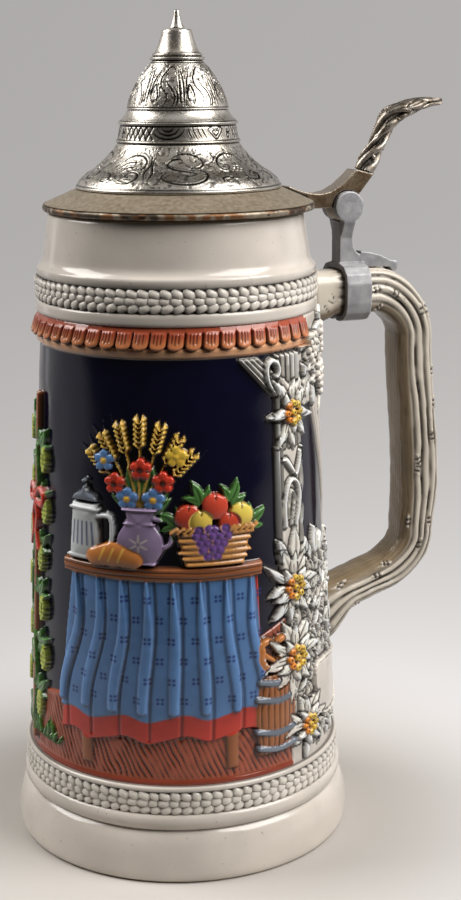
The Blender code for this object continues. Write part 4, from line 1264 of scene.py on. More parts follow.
def poppy(pen: Pen, coat: Coat) -> None:
    """Lay a round open flower with an eye.

    Args:
        pen: its middle.
        coat: paint of its petals.
    """
    for index in range(5):
        petal = pen.at(0, 0, turn=math.tau * index / 5)
        petal.ridge([(0, 0.5), (0, 2.1)], (1.1, 1.7), 2.0, 0.5, coat)
    pen.bead(1.05, 2.2, 0.5, Coat.SHADE if coat is Coat.POPPY else Coat.YELLOW)


def pretzel(pen: Pen, level: float) -> None:
    """Lay a salted pretzel.

    Args:
        pen: its middle.
        level: height of its border.
    """
    arm = smooth_path([(-1.5, -3.9), (1.2, -1.6), (4.4, 1.0), (4.8, 3.6), (2.6, 4.6), (0, 3.2)], 6)
    for side in (1, -1):
        pen.at(0, 0, flip=side).ridge(arm, (0.8, 1.0, 1.25, 1.3, 1.2, 1.1), level, 0.8, Coat.CRUST)
    base = [(4.6, 2.2), (4.9, -0.8), (2.8, -3.9), (0, -4.7), (-2.8, -3.9), (-4.9, -0.8), (-4.6, 2.2)]
    pen.ridge(smooth_path(base, 5), 1.25, level, 0.9, Coat.CRUST)
    for index in range(9):
        angle = math.pi * (1.05 + 0.9 * index / 8)
        grain = pen.at(4.3 * math.cos(angle), 4.3 * math.sin(angle))
        grain.bead(0.34, level + 0.9, 0.2, Coat.IVORY)


def loaf(pen: Pen, widths: tuple, points: list, level: float, slashes: tuple, slash: float) -> None:
    """Lay a slashed loaf of bread.

    Args:
        pen: where its points count from.
        widths: half widths along it.
        points: places along its middle.
        level: height of its border.
        slashes: places across of its slashes.
        slash: half the width of a slash.
    """
    pen.ridge(smooth_path(points, 4), widths, level, 1.5, Coat.CRUST)
    low, high = points[0][1] - 0.8, points[1][1] + 0.8 + 2 * slash
    for place in slashes:
        pen.stain([(place - 0.8, low), (place + 0.9, high)], (0.3, slash, 0.3), Coat.WHEAT, 0.9)


def small_stein(pen: Pen, level: float) -> None:
    """Lay a small grey stein with a lid.

    Args:
        pen: middle of its foot.
        level: height of its border.
    """
    grip = smooth_path([(4.6, 13.5), (8.4, 13.4), (9.0, 8.0), (7.4, 3.8), (4.8, 3.6)], 6)
    pen.ridge(grip, 0.95, level - 0.3, 0.7, Coat.STONE)
    pen.form([(-5.4, 0), (5.4, 0), (4.5, 17), (-4.5, 17)], level, Coat.STONE, 0.9)
    for rise, half in ((1.3, 5.2), (15.2, 4.5)):
        pen.ridge([(-half, rise), (half, rise)], 0.75, level + 0.5, 0.4, Coat.STONE)
    for index in range(5):
        pen.stain([(-3.4 + 1.7 * index, 5.0), (-2.9 + 1.45 * index, 11.5)], 0.34, Coat.PRINT, 0.8)
    cap = [(-4.9, 17), (-3.6, 19.2), (-1.2, 20.2), (0, 22.6), (1.2, 20.2), (3.6, 19.2), (4.9, 17)]
    pen.form(smooth_path(cap, 4), level + 0.1, Coat.HOOP, 0.7)
    pen.at(0, 23).bead(0.9, level, 0.6, Coat.HOOP)


def barrel(pen: Pen, half: float, length: float, level: float) -> None:
    """Lay an upright barrel with staves and hoops.

    Args:
        pen: middle of its foot.
        half: half its width at the ends.
        length: its height.
        level: height of its border.
    """
    bulge = 1.22 * half
    side = smooth_path([(half, 0), (1.12 * half, 0.22 * length), (bulge, 0.5 * length),
                        (1.12 * half, 0.78 * length), (half, length)], 6)
    pen.form(np.concatenate([side, side[::-1] * (-1, 1)]), level, Coat.OAK, 1.3)
    for share in np.linspace(-0.8, 0.8, 7):
        pen.cut(side * (share, 1), 0.3, 0.3, 0.75)
    for rise in (0.09, 0.3, 0.7, 0.91):
        reach = half + (bulge - half) * math.sin(math.pi * rise)
        low, high = rise * length - 0.6, rise * length + 0.6
        hoop = smooth_path([(-reach, high), (0, low), (reach, high)], 5)
        pen.ridge(hoop, 1.15, level + 1.0, 0.35, Coat.HOOP)


def bouquet(pen: Pen) -> None:
    """Lay a vase of wheat, poppies and leaves.

    Args:
        pen: middle of its foot.
    """
    for index in range(9):
        turn = 0.95 - 0.24 * index
        leaf(pen.at(0, 17, turn=turn * 1.15), Coat.LEAF, 17 - 1.5 * abs(index - 4), 1.2)
    for index in range(7):
        wheat(pen.at(0.4 * (3 - index), 17, turn=0.78 - 0.26 * index), 28 - 1.1 * abs(index - 3))
    for coat, places in (
            (Coat.POPPY, ((-8, 26), (7.5, 27), (0.5, 31))),
            (Coat.CLOTH, ((-3.8, 21.5), (4.4, 21.5), (-11.5, 33))),
            (Coat.YELLOW, ((11.5, 35),))):
        for place in places:
            poppy(pen.at(*place), coat)
    pen.ridge(smooth_path([(4.5, 15.5), (9.4, 14.5), (9.6, 8.5), (7.0, 6.0)], 6), 1.0, 1.8, 0.7, Coat.LILAC)
    half = smooth_path([(4.6, 0), (5.0, 1.0), (7.6, 5.5), (7.2, 10), (4.6, 14.5), (4.9, 18), (5.6, 19)], 5)
    pen.form(np.concatenate([half, half[::-1] * (-1, 1)]), 2.0, Coat.LILAC, 1.3)
    for rise, reach in ((1.2, 4.9), (13.8, 4.8), (18.2, 5.2)):
        pen.ridge([(-reach, rise), (reach, rise)], 0.6, 2.6, 0.4, Coat.LILAC)
    for turn in range(6):
        star = pen.at(0, 7.6, turn=turn * math.pi / 3)
        star.stain([(0, 0.9), (0, 2.9)], (0.3, 0.8, 0.2), Coat.IVORY, 0.85)


def basket(pen: Pen) -> None:
    """Lay a wicker basket of fruit.

    Args:
        pen: middle of its foot.
    """
    for u, v, turn in ((-11, 13, 1.0), (11, 13, -1.0), (-4, 20, 0.4), (5, 20, -0.4)):
        hop_leaf(pen.at(u, v, turn=turn))
    for u, v, radius, coat in (
            (-8.0, 16.0, 4.3, Coat.APPLE), (8.4, 15.6, 4.2, Coat.PEAR), (0.2, 19.0, 4.4, Coat.APPLE),
            (-4.2, 14.5, 3.8, Coat.PEAR), (4.4, 13.6, 3.7, Coat.APPLE)):
        pen.at(u, v).bead(radius, 1.7, 1.3, coat)
        pen.cut([(u, v + 0.55 * radius), (u + 0.4, v + 0.95 * radius)], 0.35, 0.3, 0.8)
    pen.form([(-9.5, 0), (9.5, 0), (12.2, 11.5), (-12.2, 11.5)], 1.9, Coat.WICKER, 0.7)
    for row in range(6):
        v = 1.1 + 1.9 * row
        for column in range(9):
            u = (column - 4 + 0.5 * (row % 2)) * 2.45
            if abs(u) < 9.2 + 0.48 * row:
                pen.ridge([(u - 1.0, v), (u + 1.0, v)], 0.85, 2.4, 0.55, Coat.WICKER)
    for u in np.linspace(-12.4, 12.4, 14):
        pen.ridge([(u - 1.0, 11.2), (u + 1.0, 12.6)], 0.8, 2.5, 0.6, Coat.WICKER)
    grapes(pen.at(-1.0, 12.2), Coat.GRAPE, (4, 5, 4, 3, 2))


@dataclass
class PicturePanel:
    """The tapered picture wall: painted relief between the sill and the shingles.

    Profiles give a radius for each height, under the roof and beside the handle. Angles are in degrees.
    """

    reference: float = 48.0
    bottom: float = 31.6
    top: float = 178.0
    columns: int = 900
    row_step: float = 0.335
    post_side: float = 62.0
    table_at: float = 243.0
    pole_at: float = 178.0
    stand_at: float = 116.0
    roof_side: float = 48.9
    seams: tuple = (0, 75, 150, 205, 286, 360)
    wall: float = 1.3
    shape: tuple = (
        (31.6, 51.1), (168.0, 45.17), (169.0, 46.2), (170.6, 46.6), (171.3, 46.4), (178.0, 44.6))
    bare_shape: tuple = ((31.6, 51.1), (167.2, 45.2), (178.0, 45.2))
    floor_foot: float = 30.0
    skirting: float = 33.2
    blades: int = 430
    vine_leaves: int = 90
    sprouts: tuple = ((-4.6, 0.3, 9.0), (3.2, -0.45, 8.0), (-0.4, -0.05, 11.5), (-2.4, 0.75, 6.5))
    bank_sprouts: tuple = ((9.0, 0.5, 6.5), (15.5, -0.45, 7.5), (12.6, 0.05, 10.0))
    flowers: tuple = ((0.5, 148.6, 1.36), (-1.0, 91.8, 1.42), (-1.2, 68.2, 1.46), (4.4, 43.5, 1.22))

    def along(self, degrees: float) -> float:
        """Find the place across for an angle round the axis."""
        return math.radians(degrees) * self.reference

    def floor_line(self, degrees: Array) -> Array:
        """Find the height of the floor's far edge at each angle."""
        return 54.0 + 24.0 * np.clip(np.abs(degrees - 180) / 100, 0, 1.2) ** 1.3

    def draw(self) -> Relief:
        """Draw the whole picture, ground first.

        Returns:
            The finished relief.
        """
        us = np.arange(self.columns) / self.columns * math.tau * self.reference
        vs = np.linspace(self.bottom, self.top, int((self.top - self.bottom) / self.row_step) + 1)
        relief = Relief(us, vs, Coat.COBALT)
        relief.height += 0.16 * soft_noise(relief.height.shape, (14, 40), 3)
        sides = [Pen(relief, self.along(angle), flip=flip)
                 for flip, angle in ((1, 360 - self.post_side), (-1, self.post_side))]
        self.ground(relief)
        for pen in sides:
            self.handle_side(pen)
        self.table(Pen(relief, self.along(self.table_at)))
        self.hop_pole(Pen(relief, self.along(self.pole_at)))
        self.barrel_stand(Pen(relief, self.along(self.stand_at)))
        for pen in sides:
            self.post(pen)
        self.lip(relief)
        # Painted highlight and painted shade over the whole picture, on top of the brush's thin and thick
        # paint.
        relief.brush(2.2, 0.45, 17)
        return relief

    def ground(self, relief: Relief) -> None:
        """Lay the floor and its skirting.

        Args:
            relief: surface to draw on.
        """
        pen = Pen(relief)
        degrees = np.linspace(self.post_side, 360 - self.post_side, 60)
        far = np.stack([np.radians(degrees) * self.reference, self.floor_line(degrees)], 1)
        left, right = far[0, 0], far[-1, 0]
        pen.form([*far, (right, self.floor_foot), (left, self.floor_foot)], 0.5, Coat.TERRACOTTA, edge=0.8)
        u, v = np.meshgrid(relief.us, relief.vs)
        edge = self.floor_line(np.degrees(u / self.reference))
        boards = smooth((edge - 0.8 - v) / 2) * smooth((v - self.skirting) / 1.5) * (u > left) * (u < right)
        relief.comb(boards, math.radians(24), 1.65, 0.35, 0.95, 11)
        low, high = self.floor_foot, self.skirting
        pen.form([(left, low), (right, low), (right, high), (left, high)], 0.9, Coat.SKIRTING)

    def lip(self, relief: Relief) -> None:
        """Lay the pale lip under the shingles, its peach lifted as painted light, and the dark bed behind
        them as painted shade.

        Args:
            relief: surface to draw on.
        """
        left, right = self.along(self.roof_side), self.along(360 - self.roof_side)
        for low, high, coat in ((168.3, 171.5, Coat.PEACH), (171.5, 179.0, Coat.SHADE)):
            Pen(relief).form([(left, low), (right, low), (right, high), (left, high)], 0.0, coat, edge=0.3)

    def handle_side(self, pen: Pen) -> None:
        """Lay the leafy bank beside the handle, with its bare plaque and vine.

        Args:
            pen: foot of the post beside it.
        """
        far = self.along(self.post_side) + 1
        pen.form([(-3, 30), (far, 30), (far, 102), (4, 101), (-4, 88)], 0.6, Coat.IVORY, edge=0.8)
        draw = np.random.default_rng(21)
        for _ in range(self.blades):
            u, v = draw.uniform(-3, far), draw.uniform(34, 98)
            lean = draw.normal(0.0, 0.5)
            path = blade(draw.uniform(3.0, 7.0), 0.6, 4)
            level, crease = draw.uniform(0.7, 1.5), draw.choice([0.0, 0.9])
            grass = pen.at(u, v, turn=lean)
            grass.ridge(path, (0.3, 0.85, 0.75, 0.1), level, 0.55, Coat.CREAM, crease, 0.7)
        for u, turn, length in self.bank_sprouts:
            leaf(pen.at(u, 99.5, turn=turn), Coat.CREAM, length, 1.3)
        edge = smooth_path(
            [(14.0, 153), (17.2, 145), (20.2, 138), (23.8, 130), (28.6, 121), (35.0, 110), (38.0, 100.5)], 5)
        pen.form([*edge, (far, 100.5), (far, 153)], 0.9, Coat.IVORY, edge=0.8)
        for offset in (2.0, 6.5, 11.0):
            pen.cut(edge[4:] + (offset, 0), 0.4, 0.3, 0.8)
        pen.form([(6, 152), (13, 149), (far, 149), (far, 178), (6, 178)], 0.5, Coat.IVORY, edge=0.8)
        for _ in range(self.vine_leaves):
            u, v = draw.uniform(6.5, far), draw.uniform(148, 173)
            place = pen.at(u, v, turn=draw.normal(0.4, 1.0))
            leaf(place, Coat.CREAM, draw.uniform(4.5, 7.5), draw.uniform(0.9, 1.6))
        for u, v in ((15, 171), (24, 160), (33, 172), (42, 161)):
            grapes(pen.at(u, v), Coat.IVORY, (3, 4, 3, 2, 1))
        plaque = smooth_path([(9.0, 60.5), (15, 62.5), (26, 61), (36, 58.5), (36, 45), (26, 42.5),
                              (15, 43.5), (10, 47)], 4, True)
        pen.form(plaque, 1.9, Coat.IVORY, 0.25, 0.9)
        pen.ridge([*plaque, plaque[0]], 0.6, 2.0, 0.45, Coat.IVORY, line=0.4)

    def post(self, pen: Pen) -> None:
        """Lay the carved house post with its brace, scroll, sprouts and edelweiss.

        Args:
            pen: foot of the post.
        """
        pen.form([(-20.6, 167.5), (-12.8, 167.5), (-5, 161), (-7, 154.4)], 0.9, Coat.CREAM, 0.2)
        for index in range(4):
            path = [(-19.4 + 2.0 * index, 166.9), (-7.2 + 0.3 * index, 154.8 + 2.1 * index)]
            pen.ridge(path, 0.4, 1.2, 0.6, Coat.CREAM, line=0.8)
        shaft = [(-6.4, 100), (4.2, 100), (5.8, 138), (5.2, 167.5), (-6.0, 167.5), (-6.8, 136)]
        pen.form(shaft, 0.9, Coat.CREAM, 0.2)
        for index in range(5):
            path = [(-5.6 + 2.6 * index, 138), (-5.0 + 2.4 * index, 166.8)]
            pen.ridge(path, 0.6, 1.2, 0.55, Coat.CREAM, line=1.0)
        pen.cut([(-0.9, 102), (-0.6, 136)], 5.2, 0.2, 0.12)
        for path, widths in (
                ([(-6.1, 100), (-6.2, 138)], 0.55),
                ([(-4.7, 122), (-4.7, 138)], 0.42),
                ([(4.1, 100), (5.4, 137)], 0.5),
                ([(-4.4, 133.9), (-2.6, 133.4), (-0.6, 131.0), (1.4, 128.4)], (0.4, 1.15, 1.0, 0.7)),
                ([(4.6, 135.6), (3.7, 132.2), (2.0, 128.2)], (0.5, 0.8, 0.75)),
                ([(-3.9, 112.4), (-4.0, 119), (-2.6, 124.8), (-0.3, 127.0), (2.2, 125.8), (3.4, 122),
                  (2.7, 117), (0.6, 111.4)], 0.85),
                ([(-1.9, 114.6), (-1.7, 120.6), (-0.4, 123.4), (1.0, 121.4), (0.3, 116.5),
                  (-0.8, 112.4)], 0.45),
                ([(-7.0, 161.4), (-5.9, 160.7), (-4.9, 162.4), (-5.6, 164.8), (-7.8, 165.9), (-9.7, 164.6),
                  (-10.0, 161.8), (-9.0, 158.4), (-6.4, 154.8)], (0.4, 0.7, 0.95, 0.95, 0.8, 0.5))):
            pen.ridge(smooth_path(path, 6), widths, 1.5, 0.6, Coat.CREAM, line=1.05)
        for u, turn, length in self.sprouts:
            leaf(pen.at(u, 100, turn=turn), Coat.CREAM, length, 1.4)
        for u, v, size in self.flowers:
            for turn in (0.35, -0.5):
                leaf(pen.at(u, v, turn=turn), Coat.CREAM, 9 * size, 1.2)
            edelweiss(pen.at(u, v, size))

    def table(self, pen: Pen) -> None:
        """Lay the table with its cloth, vase, stein, basket and bread, and a barrel beside it.

        Args:
            pen: middle of the table's foot.
        """
        for side in (-25, 21):
            leg = [(side - 2, 36), (side + 2, 36), (side + 2.6, 60), (side - 2.6, 60)]
            pen.form(leg, 1.0, Coat.WOOD, 0.5)
        hem = smooth_path([(-36 + 6.2 * k, 52.5 + 1.3 * math.sin(2.1 * k) + 0.25 * k) for k in range(12)], 4)
        pen.form([*(hem - (0, 7.5)), (31, 101), (-31, 101)], 1.3, Coat.RED, 0.3)
        pen.form([*hem, (31.0, 80), (29.5, 101), (-31, 101), (-33.5, 80)], 1.6, Coat.CLOTH, 0.3)
        for index in range(8):
            high, low = -28.5 + 8.0 * index, -34.0 + 9.4 * index
            fold = smooth_path([(high, 100), (high + 0.5, 82), (low, 62), (low - 0.4, 46.5)], 6)
            pen.ridge(fold[:15], (0.5, 1.5, 2.0, 1.6), 1.75, 0.8, Coat.CLOTH)
            # A groove beside each fold, with painted shadow in it.
            pen.cut(fold + (2.2, 0), 0.75, 0.35, 0.3)
        for row in range(6):
            for column in range(9):
                u, v = -29 + 7.1 * column + 3.5 * (row % 2), 60 + 6.6 * row
                for turn in range(4):
                    angle = math.pi / 2 * turn + math.pi / 4
                    dot = (u + 0.95 * math.cos(angle), v + 0.95 * math.sin(angle))
                    pen.stain([dot, dot], 0.5, Coat.PRINT, 0.9)
        pen.form([(-34, 98.8), (32, 98.8), (32.5, 103.6), (-34.5, 103.6)], 2.1, Coat.WOOD, 0.35)
        for rise in (100.2, 101.9):
            pen.cut([(-34, rise), (-8, rise + 0.3), (12, rise - 0.2), (32, rise)], 0.3, 0.25, 0.7)
        bouquet(pen.at(-6.5, 103.5))
        small_stein(pen.at(-25.5, 103.4, 1.12), 2.0)
        basket(pen.at(16.5, 103.4))
        loaf(pen, (3.0, 4.2, 3.0), [(-21, 105.8), (-15, 107.0), (-8, 105.8)], 2.3, (-18, -15, -12), 0.7)
        barrel(pen.at(36.0, 38.0, turn=-0.03), 6.3, 27, 1.5)
        pretzel(pen.at(36.2, 71.5, 1.05), 1.7)

    def hop_pole(self, pen: Pen) -> None:
        """Lay a pole with hop vine, cones and a ribbon.

        Args:
            pen: foot of the pole.
        """
        pen.ridge([(0, 36), (0.6, 152)], (1.9, 1.6), 1.3, 0.9, Coat.WOOD)
        vine = [(2.6 * math.sin(0.42 * k), 40 + 4.4 * k) for k in range(26)]
        pen.ridge(smooth_path(vine, 4), 0.7, 1.9, 0.5, Coat.LEAF)
        for index in range(13):
            side = 1 if index % 2 else -1
            hop_leaf(pen.at(side * 3.2, 44 + 8.3 * index, turn=-side * (1.15 - 0.3 * (index % 3))))
        for index in range(12):
            side = -1 if index % 2 else 1
            hop_cone(pen.at(side * (5.2 + 1.5 * (index % 3)), 52 + 8.3 * index))
        for side in (-1, 1):
            bow = [(0, 0), (4 * side, 3.6), (7.5 * side, 1.6), (5.6 * side, -1.6), (0, 0)]
            pen.at(0.3, 118).ridge(smooth_path(bow, 5), 1.1, 2.2, 0.6, Coat.RED)
            tail = [(0, 0), (2.4 * side, -5), (1.6 * side, -10), (3.8 * side, -15)]
            pen.at(0.3, 117).ridge(smooth_path(tail, 5), (0.9, 1.2, 1.3), 2.2, 0.5, Coat.RED)
        pen.at(0.3, 118).bead(1.5, 2.4, 0.6, Coat.RED)
        for index in range(26):
            reach = 5 + 3 * math.sin(1.9 * index)
            grass = pen.at(-16 + 1.3 * index, 38, turn=0.5 * math.sin(2.7 * index))
            grass.ridge([(0, 0), (0.4, 0.6 * reach), (0, reach)], (0.5, 0.8, 0.1), 1.2, 0.4, Coat.LEAF)

    def barrel_stand(self, pen: Pen) -> None:
        """Lay a big barrel on its stand, with steins and bread on top.

        Args:
            pen: middle of the stand's foot.
        """
        for side in (-17, 17):
            leg = [(side - 3, 37), (side + 3, 37), (0.7 * side + 2, 56), (0.7 * side - 2, 56)]
            pen.form(leg, 1.1, Coat.WOOD, 0.5)
        pen.ridge([(-19, 46), (19, 46)], 1.6, 1.2, 0.5, Coat.WOOD)
        angle = np.linspace(0, math.tau, 49)
        ring = np.stack([np.cos(angle), np.sin(angle)], 1)
        head = pen.at(0, 76)
        head.form(25 * ring[:-1], 1.1, Coat.OAK, 0.4)
        for share in np.linspace(-18, 18, 9):
            reach = math.sqrt(21 ** 2 - share ** 2)
            head.cut([(share, -reach), (share, reach)], 0.32, 0.3, 0.75)
        head.ridge(22.6 * ring, 1.3, 1.7, 0.5, Coat.OAK)
        head.ridge(25 * ring, 1.5, 1.6, 0.6, Coat.HOOP)
        head.form([(-19, -3), (19, -3), (19, 3), (-19, 3)], 1.8, Coat.WOOD, 0.4)
        tap = head.at(0, -13)
        tap.ridge([(0, 3), (0, -3.4)], (1.3, 1.0), 2.2, 0.9, Coat.BRASS)
        tap.ridge([(-2.6, 3.4), (2.6, 3.4)], 0.9, 2.5, 0.7, Coat.BRASS)
        tap.bead(1.8, 2.3, 0.9, Coat.BRASS)
        for index in range(11):
            turn = math.pi * (0.12 + 0.76 * index / 10)
            u, v = math.cos(turn), math.sin(turn)
            hop_leaf(head.at(26.5 * u, 26.5 * v, turn=turn - math.pi / 2 + 0.5 * (-1) ** index))
            if index % 2:
                hop_cone(head.at(23 * u, 23 * v + 2))
        pen.form([(-25, 106), (25, 106), (25, 110), (-25, 110)], 1.9, Coat.WOOD, 0.4)
        for side in (-1, 1):
            small_stein(pen.at(15.5 * side, 110, 1.15, flip=side), 2.0)
        loaf(pen, (3.2, 4.8, 3.2), [(-8.5, 112.8), (-1, 114.4), (6, 112.8)], 2.1, (-5, -1.5, 2), 0.8)
        pretzel(pen.at(0, 126, 1.15), 1.6)

    def skins(self, relief: Relief) -> list[Skin]:
        """Wrap the relief round the vessel as closed slabs.

        Args:
            relief: the drawn picture.

        Returns:
            One skin for each slab, in order round the axis.
        """
        wash = relief.wash(1.1, 0.6)
        base, bare = (np.interp(relief.vs, *np.array(shape).T) for shape in (self.shape, self.bare_shape))
        degrees = np.degrees(relief.us / self.reference)
        roof_end = self.roof_side - 0.5
        roofed = smooth(degrees - roof_end) * smooth(360 - roof_end - degrees)
        radius = bare[:, None] + (base - bare)[:, None] * roofed + relief.height
        rise = np.concatenate([relief.vs, [self.top, self.bottom]])
        skins = []
        for start, end in zip(self.seams, self.seams[1:]):
            columns = np.arange(round(start / 360 * self.columns), round(end / 360 * self.columns) + 1)
            angle = (columns / self.columns * math.tau)[:, None]
            columns %= self.columns
            back = np.tile(bare[[-1, 0]] - self.wall, (columns.size, 1))
            reach = np.concatenate([radius.T[columns], back], 1)
            height = np.broadcast_to(rise, reach.shape)
            rings = np.stack([reach * np.cos(angle), reach * np.sin(angle), height], -1)
            ends = np.tile(Coat.IVORY.colour, (columns.size, 2, 1))
            paint = np.concatenate([relief.paint.transpose(1, 0, 2)[columns], ends], 1)
            dark = np.concatenate([wash.T[columns], np.zeros((columns.size, 2))], 1)
            skins.append(Skin(rings, paint, dark, False, crisp=math.radians(86)))
        return skins

    def dress(self) -> None:
        """Hang the slabs on the vessel."""
        for number, skin in enumerate(self.skins(self.draw()), 1):
            name = f"picture_relief_{number}"
            piece(name, skin.mesh(name), STONEWARE, "vessel", ("stein_body",))


@dataclass
class BentPiece:
    """A piece swept along a path in the plane of the handle, with a rounded-square section.

    Each knot has its place (x, z), its heading in degrees, and the section's depth and width there.
    """

    knots: tuple[tuple[float, ...], ...]
    step: float
    sides: int
    square: float

    def stations(self) -> tuple[Array, Array]:
        """Follow the path.

        Returns:
            Places (x, z) along it, and depth and width at each.
        """
        places, sections = [], []
        for start, end in zip(self.knots, self.knots[1:]):
            first, last = np.array(start[:2]), np.array(end[:2])
            reach = np.hypot(*(last - first))
            leave, arrive = (reach * np.array([math.cos(turn), math.sin(turn)])
                             for turn in (math.radians(start[2]), math.radians(end[2])))
            count = max(4, round(reach / self.step))
            t = (np.arange(count) / count)[:, None]
            line = first * (2 * t ** 3 - 3 * t ** 2 + 1) + last * (3 * t ** 2 - 2 * t ** 3)
            places.append(line + leave * (t ** 3 - 2 * t ** 2 + t) + arrive * (t ** 3 - t ** 2))
            sections.append(np.array(start[3:]) * (1 - smooth(t)) + np.array(end[3:]) * smooth(t))
        places.append([self.knots[-1][:2]])
        sections.append([self.knots[-1][3:]])
        return np.concatenate(places), np.concatenate(sections)

    def outline(self, angle: Array, sections: Array) -> tuple[Array, Array, Array, Array]:
        """Work out rounded-square sections.

        Args:
            angle: angles of the outline's points.
            sections: depth and width of each section.

        Returns:
            Places across and outwards, and the outline's outward direction in both.
        """
        half_depth, half_width = sections[:, :1] / 2, sections[:, 1:] / 2
        power = 2 / self.square
        cos, sin = np.cos(angle)[None, :], np.sin(angle)[None, :]
        across = half_width * np.sign(cos) * np.abs(cos) ** power
        out = half_depth * np.sign(sin) * np.abs(sin) ** power
        face_across = np.sign(cos) * np.abs(cos) ** (2 - power) / half_width
        face_out = np.sign(sin) * np.abs(sin) ** (2 - power) / half_depth
        length = np.hypot(face_across, face_out)
        return across, out, face_across / length, face_out / length

    def section(self) -> tuple[Array, Array]:
        """Share the mean section's outline into equal steps.

        Returns:
            Angles of the outline's points, from the middle of the inner face, and the places across.
        """
        angle = np.linspace(-math.pi / 2, 1.5 * math.pi, 4001)
        across, out = self.outline(angle, self.stations()[1].mean(0)[None, :])[:2]
        run = way(np.stack([across[0], out[0]], 1))
        stops = np.arange(self.sides) / self.sides * run[-1]
        return np.interp(stops, run, angle), stops

    def canvas(self, coat: Coat) -> Relief:
        """Start a relief that follows the piece."""
        return Relief(self.section()[1], way(self.stations()[0]), coat)

    def skin(self, relief: Relief) -> Skin:
        """Wrap a relief round the path.

        Args:
            relief: moulding of the surface.

        Returns:
            The skin of the piece.
        """
        places, sections = self.stations()
        across, out, face_across, face_out = self.outline(self.section()[0], sections)
        along = np.gradient(places, axis=0)
        along /= np.hypot(along[:, :1], along[:, 1:])
        away = out + face_out * relief.height
        rings = np.stack([places[:, :1] - along[:, 1:] * away, across + face_across * relief.height,
                          places[:, 1:] + along[:, :1] * away], -1)
        return Skin(rings, relief.paint, relief.wash(0.9, 0.7), False)


@dataclass
class BarkHandle:
    """The branch handle: smooth inside, bark ribs and knots on its sides and back.

    Each stop has its place (x, z), its heading in degrees and the branch's depth there.
    """

    width: float = 16.2
    step: float = 0.5
    sides: int = 150
    square: float = 3.6
    ribs: int = 17
    knot_count: int = 60
    stops: tuple = (
        (41.5, 177.8, 0.0, 20.6), (48.5, 178.6, 4.0, 17.6), (55.5, 179.6, 0.0, 15.0),
        (70.5, 179.6, 0.0, 15.0), (85.75, 163.6, -90.0, 13.1), (89.2, 110.6, -90.0, 14.0),
        (88.1, 92.0, -90.0, 12.4), (75.1, 77.8, -162.0, 11.8), (62.5, 73.6, -162.0, 11.8),
        (46.5, 65.0, -162.0, 22.5))
    slashes: tuple = ((8.6, 0.5), (10.4, 0.9), (11.6, 0.3))

    def bark(self, relief: Relief) -> None:
        """Carve ribs on the sides and back and fine lines on the smooth inner face, tint the inner face tan
        with painted shade, and paint a shadow before the strap.

        Args:
            relief: surface of the branch.
        """
        u, v = np.meshgrid(relief.us, relief.vs)
        side = np.abs(np.minimum(u, relief.girth - u))
        inner = smooth((0.2 * relief.girth - side) / 2.5)
        sway = soft_noise(u.shape, (14, 9), 31)
        broken = soft_noise(u.shape, (30, 22), 32)
        phase = np.abs(np.sin(math.pi * (self.ribs * u / relief.girth + 0.2 * sway)))
        groove = np.clip((0.78 - phase) / 0.42, 0, 1) * np.clip(0.85 + 0.8 * broken, 0.2, 1)
        barked = (1 - inner) * smooth((v - 12.0) / 5.0)
        relief.height += barked * (0.8 * phase ** 0.6 - 0.5 - 0.3 * groove)
        relief.height += 0.12 * soft_noise(u.shape, (60, 16), 33)
        relief.darken(0.92 * barked * groove)
        fine = np.clip(np.cos(math.tau * (u / 1.7 + 0.5 * sway)) - 0.4, 0, 1)
        relief.height -= 0.16 * inner * fine
        relief.darken(0.7 * inner * fine * np.clip(0.5 + broken, 0, 1))
        # Tan inner face: partly the clay's own colour, partly painted shade on the face turned from the
        # light.
        relief.tint((...,), Coat.TAN, inner)
        # Darker near both roots, and painted shadow on the stub just before the strap.
        root = np.maximum(smooth((6.5 - v) / 1.5), smooth((v - relief.vs[-1] + 6.0) / 1.5))
        shadow = smooth((v - 13.5) / 2) * smooth(18.5 - v)
        relief.darken(np.maximum(0.5 * root, 0.8 * shadow))

    def build(self) -> Skin:
        """Sweep the branch, carve its bark and set knots on it.

        Returns:
            The skin of the handle.
        """
        knots = tuple((*stop, self.width) for stop in self.stops)
        branch = BentPiece(knots, self.step, self.sides, self.square)
        relief = branch.canvas(Coat.BARK)
        self.bark(relief)
        for rise, turn in self.slashes:
            slash = Pen(relief, 0.79 * relief.girth - 0.9 * rise + 9.0, rise, turn=turn)
            slash.cut([(-1.3, 0), (1.3, 0)], (0.2, 0.5, 0.2), 0.3, 0.95)
        draw = np.random.default_rng(35)
        for _ in range(self.knot_count):
            rib_at = (draw.integers(3, self.ribs - 2) + 0.5) / self.ribs * relief.girth
            knot = Pen(relief, rib_at, draw.uniform(18, relief.vs[-1] - 12), turn=draw.normal(0, 0.3))
            knot.ridge([(0, -1.9), (0, 1.9)], (0.5, 1.25, 0.5), 0.3, 0.5, Coat.BARK)
            for rise in (-0.8, 0.8):
                knot.cut([(-0.75, rise), (0.75, rise + 0.3)], 0.55, 0.45, 1.0)
        return branch.skin(relief)

    def dress(self) -> None:
        """Lute the handle to the vessel."""
        mesh = self.build().mesh("bark_handle")
        piece("bark_handle", mesh, BARK_STONEWARE, "vessel", ("handle",))


